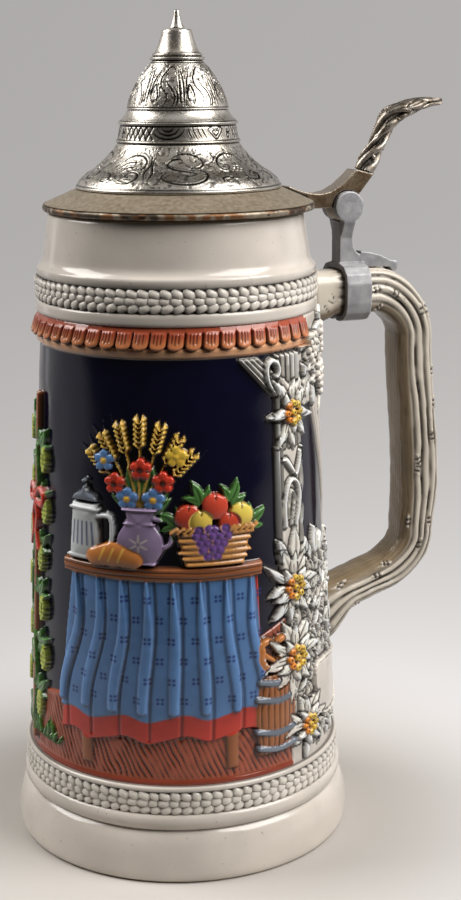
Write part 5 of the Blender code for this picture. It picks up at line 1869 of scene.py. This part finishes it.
@dataclass
class Casting:
    """A copy of a solid, softened as casting does, with dark hollows and rubbed edges.

    Faces towards one direction get painted shade, and faces towards another get painted light.
    """

    node: str
    shade_towards: tuple = (0, 0, 0)
    lit_towards: tuple = (0, 0, 0)
    extra: Mesh | None = None
    voxel: float = 0.26
    rounds: int = 6
    softness: float = 0.5
    evening: int = 3
    contrast: float = 9.0

    def soften(self) -> Mesh:
        """Join the solid with what is cast on to it, and round its edges.

        Returns:
            The softened mesh.
        """
        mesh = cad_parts[self.node].data.copy()
        merge(mesh)
        if self.extra:
            bm = bmesh.new()
            bm.from_mesh(mesh)
            bm.from_mesh(self.extra)
            bm.to_mesh(mesh)
            bm.free()
        holder = stand(self.node + "_casting", mesh)
        cells = holder.modifiers.new("cells", "REMESH")
        cells.mode = "VOXEL"
        cells.voxel_size = self.voxel * MM
        soft = holder.modifiers.new("soft", "SMOOTH")
        soft.factor = self.softness
        soft.iterations = self.rounds
        return plain_mesh(holder, self.node + "_casting")

    def bends(self, mesh: Mesh, normals: Array) -> Array:
        """Measure how the surface bends at each point.

        Args:
            mesh: the softened mesh.
            normals: outward direction at each point.

        Returns:
            The bend, evened out: above 0 in hollows, below 0 on edges.
        """
        count = len(mesh.vertices)
        points = np.empty(count * 3)
        mesh.vertices.foreach_get("co", points)
        points = points.reshape(-1, 3)
        ends = np.empty(len(mesh.edges) * 2, np.int32)
        mesh.edges.foreach_get("vertices", ends)
        near, far = ends.reshape(-1, 2).T
        near, far = np.concatenate([near, far]), np.concatenate([far, near])
        pull, share, mean = np.zeros((count, 3)), np.zeros(count), np.zeros(count)
        np.add.at(pull, near, points[far] - points[near])
        np.add.at(share, near, 1)
        bend = (pull / share[:, None] * normals).sum(1) / (self.voxel * MM)
        for _ in range(self.evening):
            mean[:] = 0
            np.add.at(mean, near, bend[far])
            bend = 0.5 * bend + 0.5 * mean / share
        return bend

    def build(self) -> Mesh:
        """Soften the solid, and store its dark hollows and worn edges, with painted shade and painted light
        on faces by their direction.

        Returns:
            The finished mesh.
        """
        mesh = self.soften()
        normals = np.empty(len(mesh.vertices) * 3)
        mesh.vertices.foreach_get("normal", normals)
        normals = normals.reshape(-1, 3)
        bend = self.contrast * self.bends(mesh, normals)
        # Painted shade on faces turned one way, stored with the dark hollows, and painted light on faces
        # turned another way, stored with the worn edges.
        tarnish, lit_share = normals @ np.array(self.shade_towards), normals @ np.array(self.lit_towards)
        store(mesh, "wash", np.maximum(np.clip(bend - 0.1, 0, 0.9), 0.72 * smooth((tarnish - 0.45) / 0.4)))
        store(mesh, "wear", np.maximum(np.clip(-bend - 0.25, 0, 1), 0.8 * smooth((lit_share - 0.3) / 0.4)))
        mesh.shade_smooth()
        return mesh


@dataclass
class Hinge:
    """The cast strap with its post and the lid's arm, joined by a pin."""

    tongue_half: float = 3.4
    tongue: tuple = (
        (65.5, 193.2), (69.0, 192.7), (72.4, 191.8), (75.4, 190.5), (77.6, 189.1), (79.2, 188.2),
        (79.8, 187.1), (79.2, 186.1), (78.1, 185.8), (77.2, 186.4), (76.4, 187.4), (65.5, 187.9))

    def build_tongue(self) -> Mesh:
        """Cut the tongue that lies back on the handle.

        Returns:
            A closed slab across the handle's plane.
        """
        bm = bmesh.new()
        half = self.tongue_half * MM
        face = bm.faces.new([bm.verts.new((x * MM, -half, z * MM)) for x, z in self.tongue])
        made = bmesh.ops.extrude_face_region(bm, geom=[face])["geom"]
        moved = [item for item in made if isinstance(item, bmesh.types.BMVert)]
        bmesh.ops.translate(bm, verts=moved, vec=(0, 2 * half, 0))
        bmesh.ops.recalc_face_normals(bm, faces=bm.faces)
        mesh = bpy.data.meshes.new("tongue")
        bm.to_mesh(mesh)
        bm.free()
        return mesh

    def dress(self) -> None:
        """Stand softened castings in for the strap and the arm, and give the pin its finish."""
        # The strap's faces towards the vessel get painted shade.
        strap = Casting("hinge_strap", shade_towards=(-1, 0, 0), extra=self.build_tongue()).build()
        piece("cast_hinge_strap", strap, GREY_PEWTER, "vessel", ("hinge_strap",))
        # The arm's upward faces get painted light.
        arm = Casting("lid_arm", lit_towards=(0, 0, 1)).build()
        piece("cast_lid_arm", arm, ANTIQUE_PEWTER, "lid", ("lid_arm",))
        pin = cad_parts["hinge_pin"]
        pin.data.materials.clear()
        pin.data.materials.append(PIN_STEEL.material())


@dataclass
class Thumblift:
    """The cast thumb piece: twisted twigs that open into leaves.

    Each stop has its place (x, z), its heading in degrees, and the stem's depth and width there.
    """

    step: float = 0.26
    sides: int = 110
    square: float = 2.3
    stops: tuple = (
        (67.9, 219.9, 70.0, 6.0, 6.8), (73.2, 230.1, 66.0, 4.0, 6.0), (76.4, 236.4, 60.0, 5.4, 8.6),
        (83.0, 240.3, 20.0, 3.7, 11.0), (96.6, 242.4, -4.0, 1.3, 3.6))
    sunk: float = 0.8
    berries: int = 16
    leaf_rows: tuple = ((0.5, 9.5), (0.62, 10.5), (0.76, 9.5))

    def build(self) -> Skin:
        """Sweep the stem and mould twigs, berries and leaves on it.

        Returns:
            The skin of the thumb piece.
        """
        stem = BentPiece(self.stops, self.step, self.sides, self.square)
        relief = stem.canvas(Coat.METAL)
        girth, length = relief.girth, relief.vs[-1]
        relief.height -= self.sunk
        for index in range(-3, 7):
            start = girth * index / 4
            twig = [(start + 0.75 * girth * s, length * s * 0.62 + 0.5 * math.sin(9 * s))
                    for s in np.linspace(0, 1, 9)]
            Pen(relief).ridge(smooth_path(twig, 4), (1.4, 1.1, 1.4, 1.1), -0.45, 1.1, Coat.METAL, line=0.35)
        for index in range(self.berries):
            berry = Pen(relief, girth * ((0.37 * index) % 1), length * (0.06 + 0.034 * index))
            berry.bead(0.75 + 0.25 * (index % 2), 0.1, 0.55, Coat.METAL)
        for row, (rise, reach) in enumerate(self.leaf_rows):
            for index in range(5):
                across = girth * (index + 0.5 * (row % 2)) / 5 + 0.2
                pen = Pen(relief, across, length * rise, turn=0.22 * math.sin(2.6 * index + row))
                pen.ridge(blade(reach), (0.3, 1.5, 1.9, 1.4, 0.2), -0.1, 0.9, Coat.METAL, 0.7, 0.35)
        return stem.skin(relief)

    def dress(self) -> None:
        """Set the thumb piece on the arm."""
        mesh = self.build().mesh("twig_thumblift")
        piece("twig_thumblift", mesh, TWIG_PEWTER, "lid", ("thumblift",))


@dataclass
class LidRim:
    """The turned and bevelled ring that rests on the mouth."""

    sides: int = 512
    bevel: tuple = (
        (31.4, 216.3), (32.2, 216.5), (33.4, 216.4), (36.8, 214.9), (40.4, 213.35), (43.2, 212.1),
        (43.7, 211.9))
    edge: tuple = ((43.55, 211.7), (43.9, 211.5), (44.15, 211.0), (44.1, 210.4), (43.8, 209.9), (43.3, 209.7))
    under: tuple = ((38.1, 209.75), (37.8, 212.6), (31.4, 214.6))
    edge_from: float = 43.5
    edge_heights: tuple = (209.6, 211.8)
    line_at: float = 43.6
    line_half: float = 0.12
    line_dark: float = 0.9
    seam_within: float = 32.2
    seam_dark: float = 0.7

    def build(self) -> Mesh:
        """Turn the ring, with a dark line over its worn edge.

        Returns:
            The turned mesh.
        """
        profile = np.concatenate([
            evenly(smooth_path(self.bevel, 5), 0.5), evenly(smooth_path(self.edge, 5), 0.25), self.under])
        reach, rise = profile.T
        wash = np.zeros(len(profile))
        wash[np.abs(reach - self.line_at) < self.line_half] = self.line_dark
        wash[reach < self.seam_within] = self.seam_dark
        skin = turned(profile, Coat.METAL.colour, wash, self.sides, LID_AXIS)
        edge = (reach > self.edge_from) & (rise > self.edge_heights[0]) & (rise < self.edge_heights[1])
        grid = skin.wash.shape
        chips = soft_noise(grid, (150, 9), 52) + soft_noise(grid, (26, 4), 53)
        skin.wash = np.maximum(skin.wash, np.clip(0.35 + 2.5 * chips, 0, 0.85) * edge)
        mesh = skin.mesh("turned_lid_rim")
        wear = np.clip(0.5 + 3.0 * soft_noise(grid, (130, 5), 51), 0, 1) * edge
        store(mesh, "wear", wear.ravel())
        return mesh

    def dress(self) -> None:
        """Set the ring on the lid."""
        piece("turned_lid_rim", self.build(), WORN_PEWTER, "lid", ("lid_rim",))


class Stamping:
    """A sheet of pewter stamped round the lid's axis."""

    wall: float = 1.1

    def __init__(self, profile: tuple, reference: float, cell: float) -> None:
        """Start a plain sheet.

        Args:
            profile: places (radius, height) from the bottom up.
            reference: radius at which its figures are drawn true.
            cell: distance between its points.
        """
        self.line = evenly(smooth_path(profile, 6), cell)
        us = np.arange(int(math.tau * reference / cell)) * cell
        us *= math.tau * reference / (us[-1] + cell)
        self.relief = Relief(us, way(self.line), Coat.METAL)

    def row_at(self, height: float) -> float:
        """Find the place along the sheet for a height."""
        return float(np.interp(height, self.line[:, 1], self.relief.vs))

    def pens(self, count: int, turn: float, row: float) -> list[Pen]:
        """Find the places of a figure that is repeated round the axis, past both ends of the sheet.

        Args:
            count: figures in a full turn.
            turn: place of the first one, as a share of a turn.
            row: place of their foot along the sheet.

        Returns:
            One pen for each figure.
        """
        return [Pen(self.relief, self.relief.girth * (index / count + turn), row)
                for index in range(-count, 2 * count)]

    def stipple(self, low: float, high: float, seed: int) -> None:
        """Roughen the ground between the ornaments.

        Args:
            low: height at which the rough ground starts.
            high: height at which it ends.
            seed: fixed start of the draw.
        """
        height = self.line[:, 1]
        band = smooth((height - low) / 0.4) * smooth((high - height) / 0.4)
        draw = np.random.default_rng(seed)
        grain = blurred(draw.normal(0, 1, self.relief.height.shape), 0.3 / self.relief.cell)
        dots = np.clip(1.4 * grain / grain.std() - 0.5, 0, 1) * band[:, None]
        self.relief.height -= 0.09 * dots
        self.relief.darken(0.62 * dots)

    def chase(self, pens: list[Pen], paths: list, lip: float, half: float) -> None:
        """Stamp dark lines with raised lips.

        Args:
            pens: where the figure is repeated.
            paths: smooth lines of one figure.
            lip: half the width of the raised band along a line.
            half: half the width of the line itself.
        """
        for pen in pens:
            for path in paths:
                pen.ridge(path, (0.4 * lip, lip, lip, 0.4 * lip), 0.0, 0.16, Coat.METAL)
        for pen in pens:
            for path in paths:
                pen.cut(path, np.array([0.3, 1.0, 1.1, 0.8, 0.3]) * half, 0.2, 1.0)

    def rings(self, heights: tuple, half: float, deep: float) -> None:
        """Stamp lines right round.

        Args:
            heights: height of each line, and its darkness.
            half: half their width.
            deep: their depth.
        """
        for height, ink in heights:
            row = self.row_at(height)
            Pen(self.relief).cut([(-1, row), (self.relief.girth + 1, row)], half, deep, ink)

    def skin(self, closed_top: bool) -> Skin:
        """Wrap the sheet round the lid's axis as a shell.

        Args:
            closed_top: whether the shell closes over the axis.

        Returns:
            The closed shell.
        """
        line, height = self.line, self.relief.height.T
        slope = np.gradient(line, axis=0)
        slope /= np.hypot(slope[:, :1], slope[:, 1:])
        face = np.stack([slope[:, 1], -slope[:, 0]], 1)
        fade = smooth(line[:, 0] / 3.0)
        back = line[::-6] - face[::-6] * self.wall
        back[:, 0] = np.maximum(back[:, 0], 0.0)
        back[-1] = line[0] - (self.wall, 0)
        if closed_top:
            back[0, 0] = 0.0
        else:
            back[0] = line[-1] - (self.wall, 0)
        count = self.relief.us.size
        reach, rise = (np.concatenate([line[:, axis] + face[:, axis] * height * fade,
                                       np.tile(back[:, axis], (count, 1))], 1) for axis in (0, 1))
        angle = around(count)[:, None]
        rings = np.stack([LID_AXIS + reach * np.cos(angle), reach * np.sin(angle), rise], -1)
        wash = np.concatenate([self.relief.wash(0.8, 0.6).T, np.full((count, len(back)), 0.3)], 1)
        return Skin(rings, np.ones(rings.shape), wash, True, closed_top, math.radians(60))


@dataclass
class Steeple:
    """The two stampings of the steeple and the turned point on top.

    Tiers are heights between which figures stand, and turns are shares of a full turn.
    """

    skirt: tuple = (
        (33.2, 216.75), (33.35, 217.3), (32.8, 218.2), (31.6, 219.7), (29.8, 221.2), (27.4, 222.7),
        (24.9, 224.7), (22.8, 226.7), (21.1, 228.7), (20.0, 230.4), (19.7, 231.0), (20.1, 231.4),
        (19.9, 231.9), (19.4, 232.5), (19.0, 234.4), (18.75, 236.0), (18.7, 236.5), (19.2, 236.9),
        (19.2, 237.5), (18.7, 237.9), (17.9, 238.6), (17.0, 239.7), (16.5, 240.6), (16.3, 241.1))
    dome: tuple = (
        (16.3, 241.4), (16.35, 241.8), (15.95, 243.2), (15.2, 245.4), (13.55, 248.9), (11.35, 252.4),
        (9.2, 255.2), (8.3, 256.2), (8.1, 256.5), (8.75, 256.75), (8.75, 257.35), (8.2, 257.6),
        (7.75, 257.8), (8.05, 258.1), (7.9, 258.6), (7.3, 258.9), (6.6, 260.0), (5.75, 262.1),
        (5.1, 264.2), (4.8, 265.4), (4.3, 266.0), (2.2, 266.0), (0.0, 266.0))
    point: tuple = (
        (0.0, 266.3), (2.2, 266.3), (2.35, 266.7), (1.9, 267.5), (1.35, 269.0), (1.05, 270.6),
        (0.85, 271.7), (0.4, 272.0), (0.0, 272.0))
    skirt_reference: float = 27.4
    dome_reference: float = 14.0
    skirt_cell: float = 0.28
    dome_cell: float = 0.2
    point_cell: float = 0.2
    point_sides: int = 64
    scroll_tier: tuple = (218.2, 229.8)
    scroll_ground: tuple = (218.2, 230.2)
    drum_tier: tuple = (232.4, 236.1)
    plume_tier: tuple = (242.6, 255.4)
    plume_ground: tuple = (242.4, 255.6)
    scroll_turns: tuple = (253.6 / 360, 293.6 / 360, 333.6 / 360)
    fan_turn: float = 240 / 360
    plume_turn: float = 0.3 / 8
    plume_repeats: int = 8
    repeats: int = 3
    skirt_lines: tuple = ((230.95, 1.0), (232.1, 0.9), (236.45, 1.0), (237.85, 0.9), (217.9, 0.8))
    dome_lines: tuple = ((242.1, 0.9), (255.9, 0.9), (256.5, 1.0), (257.75, 1.0), (258.75, 0.8))

    def scrolls(self, sheet: Stamping) -> None:
        """Stamp looped scrolls, berry scrolls and shaded leaves in turn round the skirt.

        Args:
            sheet: the skirt.
        """
        looped = (
            [(-1.6, 2.6), (-0.4, 3.6), (-1.6, 4.8), (-4.2, 4.2), (-5.6, 2.2), (-3.4, 0.4),
             (0.4, -0.6), (3.6, -1.8), (1.4, -3.0), (-1.8, -2.0)],
            [(-4.8, 4.6), (-2.2, 6.4), (2.4, 6.6), (6.0, 5.0), (6.8, 2.6), (4.6, 1.0), (1.6, 1.4),
             (0.2, 3.0)],
            [(3.0, 0.2), (6.2, -0.6), (7.0, -3.0), (4.6, -5.8), (0.2, -6.8), (-4.4, -5.9), (-6.9, -3.4),
             (-5.6, -1.2)])
        berried = (
            [(6.0, 2.4), (3.4, 5.6), (-1.6, 6.6), (-5.6, 5.0), (-6.8, 2.2), (-5.2, 0.0), (-2.8, 0.6),
             (-2.6, 2.4)],
            [(0.6, -3.0), (2.2, -5.2), (5.2, -5.4), (6.8, -3.2), (5.6, -1.4), (3.8, -2.4)],
            [(-8.0, -6.0), (-7.6, -4.0), (-5.0, -3.8), (-1.6, -4.8)],
            [(-8.2, 6.6), (-7.2, 5.2), (-8.6, 3.4)])
        shaded = (
            [(-6.6, -0.8), (-5.0, 3.0), (-1.0, 5.8), (3.8, 5.6), (6.0, 3.0), (4.8, 0.2), (2.4, 0.8)],
            [(-5.0, -0.6), (-2.0, 2.8), (2.8, 3.4)],
            [(-3.4, -1.6), (-0.6, 0.8), (3.0, 1.6)],
            [(-2.4, -5.4), (1.2, -6.8), (4.6, -5.0), (4.4, -2.0), (1.8, -1.2), (0.4, -3.2), (2.2, -4.0)],
            [(-8.2, -2.0), (-5.6, -2.6), (-4.8, -5.0), (-6.8, -6.2), (-8.0, -4.6)],
            [(7.2, 6.4), (7.6, 2.4), (6.6, -1.4), (7.4, -5.6)],
            [(8.8, 6.0), (8.4, 2.0), (9.2, -2.0), (8.4, -5.6)])
        middle = sum(sheet.row_at(height) for height in self.scroll_tier) / 2
        for turn, paths in zip(self.scroll_turns, (looped, berried, shaded)):
            pens = sheet.pens(self.repeats, turn, middle)
            sheet.chase(pens, [smooth_path(path, 5) for path in paths], 1.0, 0.56)
            for pen in pens if paths is berried else ():
                pen.at(0.6, 0.4).bead(0.6, 0.02, 0.2, Coat.METAL)
                for index in range(1, 7):
                    berry = pen.at(0.6 + 1.4 * math.cos(index), 0.4 + 1.3 * math.sin(index))
                    berry.bead(0.6, 0.02, 0.2, Coat.METAL)
        sheet.stipple(*self.scroll_ground, 41)

    def fans(self, sheet: Stamping) -> None:
        """Stamp scallops, slanted reeds, hearts, curls and crosshatching round the drum, and lines over it.

        Args:
            sheet: the skirt.
        """
        low, high = (sheet.row_at(height) for height in self.drum_tier)
        tall = high - low
        arc = np.linspace(0, math.pi, 15)
        scallop = np.stack([np.cos(arc), -np.sin(arc)], 1)
        shells = [scallop * (7.4 * share, 0.95 * tall * share) + (0, tall) for share in (1.0, 0.66, 0.34)]
        heart = smooth_path([(0, 0.45), (0.5, 0.95), (1, 0.65), (0.6, -0.2), (0, -0.95), (-0.6, -0.2),
                             (-1, 0.65), (-0.5, 0.95)], 4, True)
        heart = np.concatenate([heart, heart[:1]])
        hearts = [heart * (4.2 * share, 0.5 * tall * share) + (23.0, 0.5 * tall) for share in (1.0, 0.45)]
        reeds = [smooth_path([(9.0 + 2.1 * k, tall), (9.8 + 2.3 * k, 0.5 * tall), (11.2 + 2.4 * k, 0)], 4)
                 for k in range(4)]
        share = np.linspace(0, 1, 26)
        opening = 0.3 + 1.4 * share ** 1.3
        curls = []
        for side in (-1, 1):
            turn = 0.6 + math.tau * 1.3 * side * share
            curl = np.stack([opening * np.cos(turn), opening * np.sin(turn)], 1)
            curls.append(curl * (1.4, 1.0) + (31.0, (0.5 + 0.22 * side) * tall))
        pens = sheet.pens(self.repeats, self.fan_turn, low)
        sheet.chase(pens, shells + hearts + reeds + curls, 0.75, 0.5)
        for pen in pens:
            for slant in (3.2, -3.2):
                for start in np.arange(-23.0, -8.0, 3.2) - min(slant, 0):
                    pen.cut([(start, 0), (start + slant, tall)], 0.42, 0.16, 1.0)
        sheet.rings(self.skirt_lines, 0.34, 0.12)

    def plumes(self, sheet: Stamping) -> None:
        """Stamp curved plume leaves round the dome, and lines round the stepped ring.

        Args:
            sheet: the dome.
        """
        plume = (
            [(-1.4, 0.0), (-0.4, 0.16), (-1.0, 0.3), (-2.4, 0.44), (-2.8, 0.62), (-1.4, 0.8), (0.4, 0.92),
             (2.0, 0.86), (2.2, 0.7), (1.0, 0.6)],
            [(1.3, 0.0), (1.9, 0.18), (1.0, 0.36), (-0.4, 0.5), (-0.6, 0.64)],
            [(2.3, 0.0), (2.7, 0.2), (1.9, 0.4)],
            [(-4.2, 0.02), (-5.2, 0.16), (-5.2, 0.32), (-4.4, 0.48), (-3.5, 0.34), (-3.2, 0.16),
             (-3.6, 0.03)],
            [(-5.8, 0.2), (-5.2, 0.56), (-3.6, 0.9)],
            [(3.6, 0.0), (3.4, 0.4), (3.0, 0.95)],
            [(4.4, 0.0), (4.6, 0.5), (3.6, 0.98)])
        low, high = (sheet.row_at(height) for height in self.plume_tier)
        paths = [smooth_path(path, 6) * (1, high - low) for path in plume]
        sheet.chase(sheet.pens(self.plume_repeats, self.plume_turn, low), paths, 0.75, 0.46)
        sheet.stipple(*self.plume_ground, 43)
        sheet.rings(self.dome_lines, 0.26, 0.1)

    def build_skirt(self) -> Mesh:
        """Stamp the lower sheet.

        Returns:
            The closed mesh.
        """
        sheet = Stamping(self.skirt, self.skirt_reference, self.skirt_cell)
        self.scrolls(sheet)
        self.fans(sheet)
        return sheet.skin(False).mesh("stamped_skirt")

    def build_dome(self) -> Mesh:
        """Stamp the upper sheet.

        Returns:
            The closed mesh.
        """
        sheet = Stamping(self.dome, self.dome_reference, self.dome_cell)
        self.plumes(sheet)
        return sheet.skin(True).mesh("stamped_dome")

    def build_point(self) -> Mesh:
        """Turn the small point.

        Returns:
            The closed mesh.
        """
        profile = evenly(smooth_path(self.point, 5), self.point_cell)
        clean = np.zeros(len(profile))
        skin = turned(profile, Coat.METAL.colour, clean, self.point_sides, LID_AXIS, True)
        return skin.mesh("turned_point")

    def dress(self) -> None:
        """Set both stampings and the point on the lid."""
        for mesh, node in ((self.build_skirt(), "steeple_skirt"), (self.build_dome(), "steeple_dome"),
                           (self.build_point(), "lid_finial")):
            piece(mesh.name, mesh, BRIGHT_PEWTER, "lid", (node,))


@dataclass(frozen=True)
class Softbox:
    """One soft studio lamp, placed by its angles in degrees from the photograph's view.

    Its distance, width and height are in metres.
    """

    name: str
    turn: float
    rise: float
    distance: float
    width: float
    height: float
    power: float
    colour: str = "#FFFFFF"

    def place(self, aim: Vector) -> None:
        """Hang the lamp and point it at the stein.

        Args:
            aim: place that it faces, in metres.
        """
        lamp = bpy.data.lights.new(self.name, "AREA")
        lamp.shape = "RECTANGLE"
        lamp.size, lamp.size_y = self.width, self.height
        lamp.energy = self.power
        lamp.color = linear(self.colour)
        made = stand(self.name, lamp)
        turn = math.radians(self.turn) - math.pi / 2 - PHOTO_TURN
        rise = math.radians(self.rise)
        flat = math.cos(rise) * self.distance
        away = (math.cos(turn) * flat, math.sin(turn) * flat, math.sin(rise) * self.distance)
        made.location = aim + Vector(away)
        made.rotation_euler = (aim - made.location).to_track_quat("-Z", "Y").to_euler()
        made.visible_camera = False


@dataclass
class Studio:
    """Camera, floor with a swept backdrop, and soft light.

    The camera's place is in millimetres and its turns in radians. Floor, wall and lamps are in metres.
    """

    distance: float = 528.9
    height: float = 255.5
    pitch: float = 0.23458
    yaw: float = 0.03284
    roll: float = -0.0054
    focal: float = 1618.7
    clip: tuple = (0.02, 20.0)
    floor_reach: float = 1.7
    floor_drop: float = 0.0001
    sweep: float = 0.7
    wall: float = 1.6
    turns: int = 96
    aim: tuple = (0.0, 0.0, 0.13)
    air: str = "#EBD8BE"
    air_light: float = 0.07
    lamps: tuple = (
        Softbox("right_softbox", 66.0, 43.0, 1.0, 0.7, 0.7, 14.0, "#FFFDFA"),
        Softbox("left_softbox", -98.0, 41.0, 1.0, 0.55, 0.65, 9.4, "#FFFDFA"),
        Softbox("top_softbox", 10.0, 74.0, 1.1, 0.8, 0.6, 0.7),
        Softbox("left_reflector", -130.0, 0.0, 0.9, 0.12, 0.8, 0.2),
        Softbox("right_reflector", 118.0, 6.0, 0.9, 0.3, 0.8, 0.5))

    def camera(self) -> None:
        """Set the camera where the photograph was taken from."""
        data = bpy.data.cameras.new("photo_camera")
        data.sensor_width = SENSOR
        data.lens = self.focal / IMAGE_HEIGHT * SENSOR
        data.clip_start, data.clip_end = self.clip
        made = stand("photo_camera", data)
        made.location = Matrix.Rotation(-PHOTO_TURN, 3, "Z") @ Vector((0, -self.distance, self.height)) * MM
        facing = Matrix.Rotation(-self.yaw - PHOTO_TURN, 3, "Z")
        facing = facing @ Matrix.Rotation(math.pi / 2 - self.pitch, 3, "X")
        made.rotation_euler = (facing @ Matrix.Rotation(self.roll, 3, "Z")).to_euler()
        bpy.context.scene.camera = made

    def backdrop(self) -> None:
        """Lay the floor and sweep it up to a round wall."""
        bend = [(self.floor_reach + self.sweep * math.sin(t), self.sweep * (1 - math.cos(t)))
                for t in np.linspace(0, math.pi / 2, 13)]
        profile = [(0.0, 0.0), *bend, (self.floor_reach + self.sweep, self.wall)]
        bm = bmesh.new()
        line = [bm.verts.new((reach, 0.0, rise - self.floor_drop)) for reach, rise in profile]
        edges = [bm.edges.new(pair) for pair in zip(line, line[1:])]
        bmesh.ops.spin(bm, geom=line + edges, cent=(0, 0, 0), axis=(0, 0, 1), angle=math.tau,
                       steps=self.turns, use_merge=True)
        bmesh.ops.remove_doubles(bm, verts=bm.verts, dist=1e-5)
        bmesh.ops.recalc_face_normals(bm, faces=bm.faces)
        mesh = bpy.data.meshes.new("backdrop")
        bm.to_mesh(mesh)
        bm.free()
        mesh.shade_smooth()
        mesh.materials.append(PAPER.material())
        stand("backdrop", mesh)

    def light(self) -> None:
        """Hang the lamps and set the dim warm surroundings."""
        for lamp in self.lamps:
            lamp.place(Vector(self.aim))
        world = bpy.data.worlds.new("studio_air")
        world.use_nodes = True
        fill(world.node_tree.nodes["Background"], {"Color": rgba(self.air), "Strength": self.air_light})
        bpy.context.scene.world = world
        bpy.context.scene.view_settings.view_transform = "Standard"

    def dress(self) -> None:
        """Set up camera, backdrop and light."""
        self.camera()
        self.backdrop()
        self.light()


def main() -> None:
    """Build every sub-assembly in order."""
    logging.basicConfig(level=logging.INFO, format="%(message)s")
    Studio().dress()
    VesselCore().dress()
    RopeBand("upper_rope", 82, 44.8, (187.8, 185.7, 183.6), 4.7, 3.1, 1.0).dress()
    RopeBand("lower_rope", 99, 52.6, (28.25, 25.95, 23.65), 4.6, 3.25, 0.95).dress()
    PicturePanel().dress()
    ShingleEave().dress()
    BarkHandle().dress()
    Hinge().dress()
    Thumblift().dress()
    LidRim().dress()
    Steeple().dress()


if __name__ == "__main__":
    main()
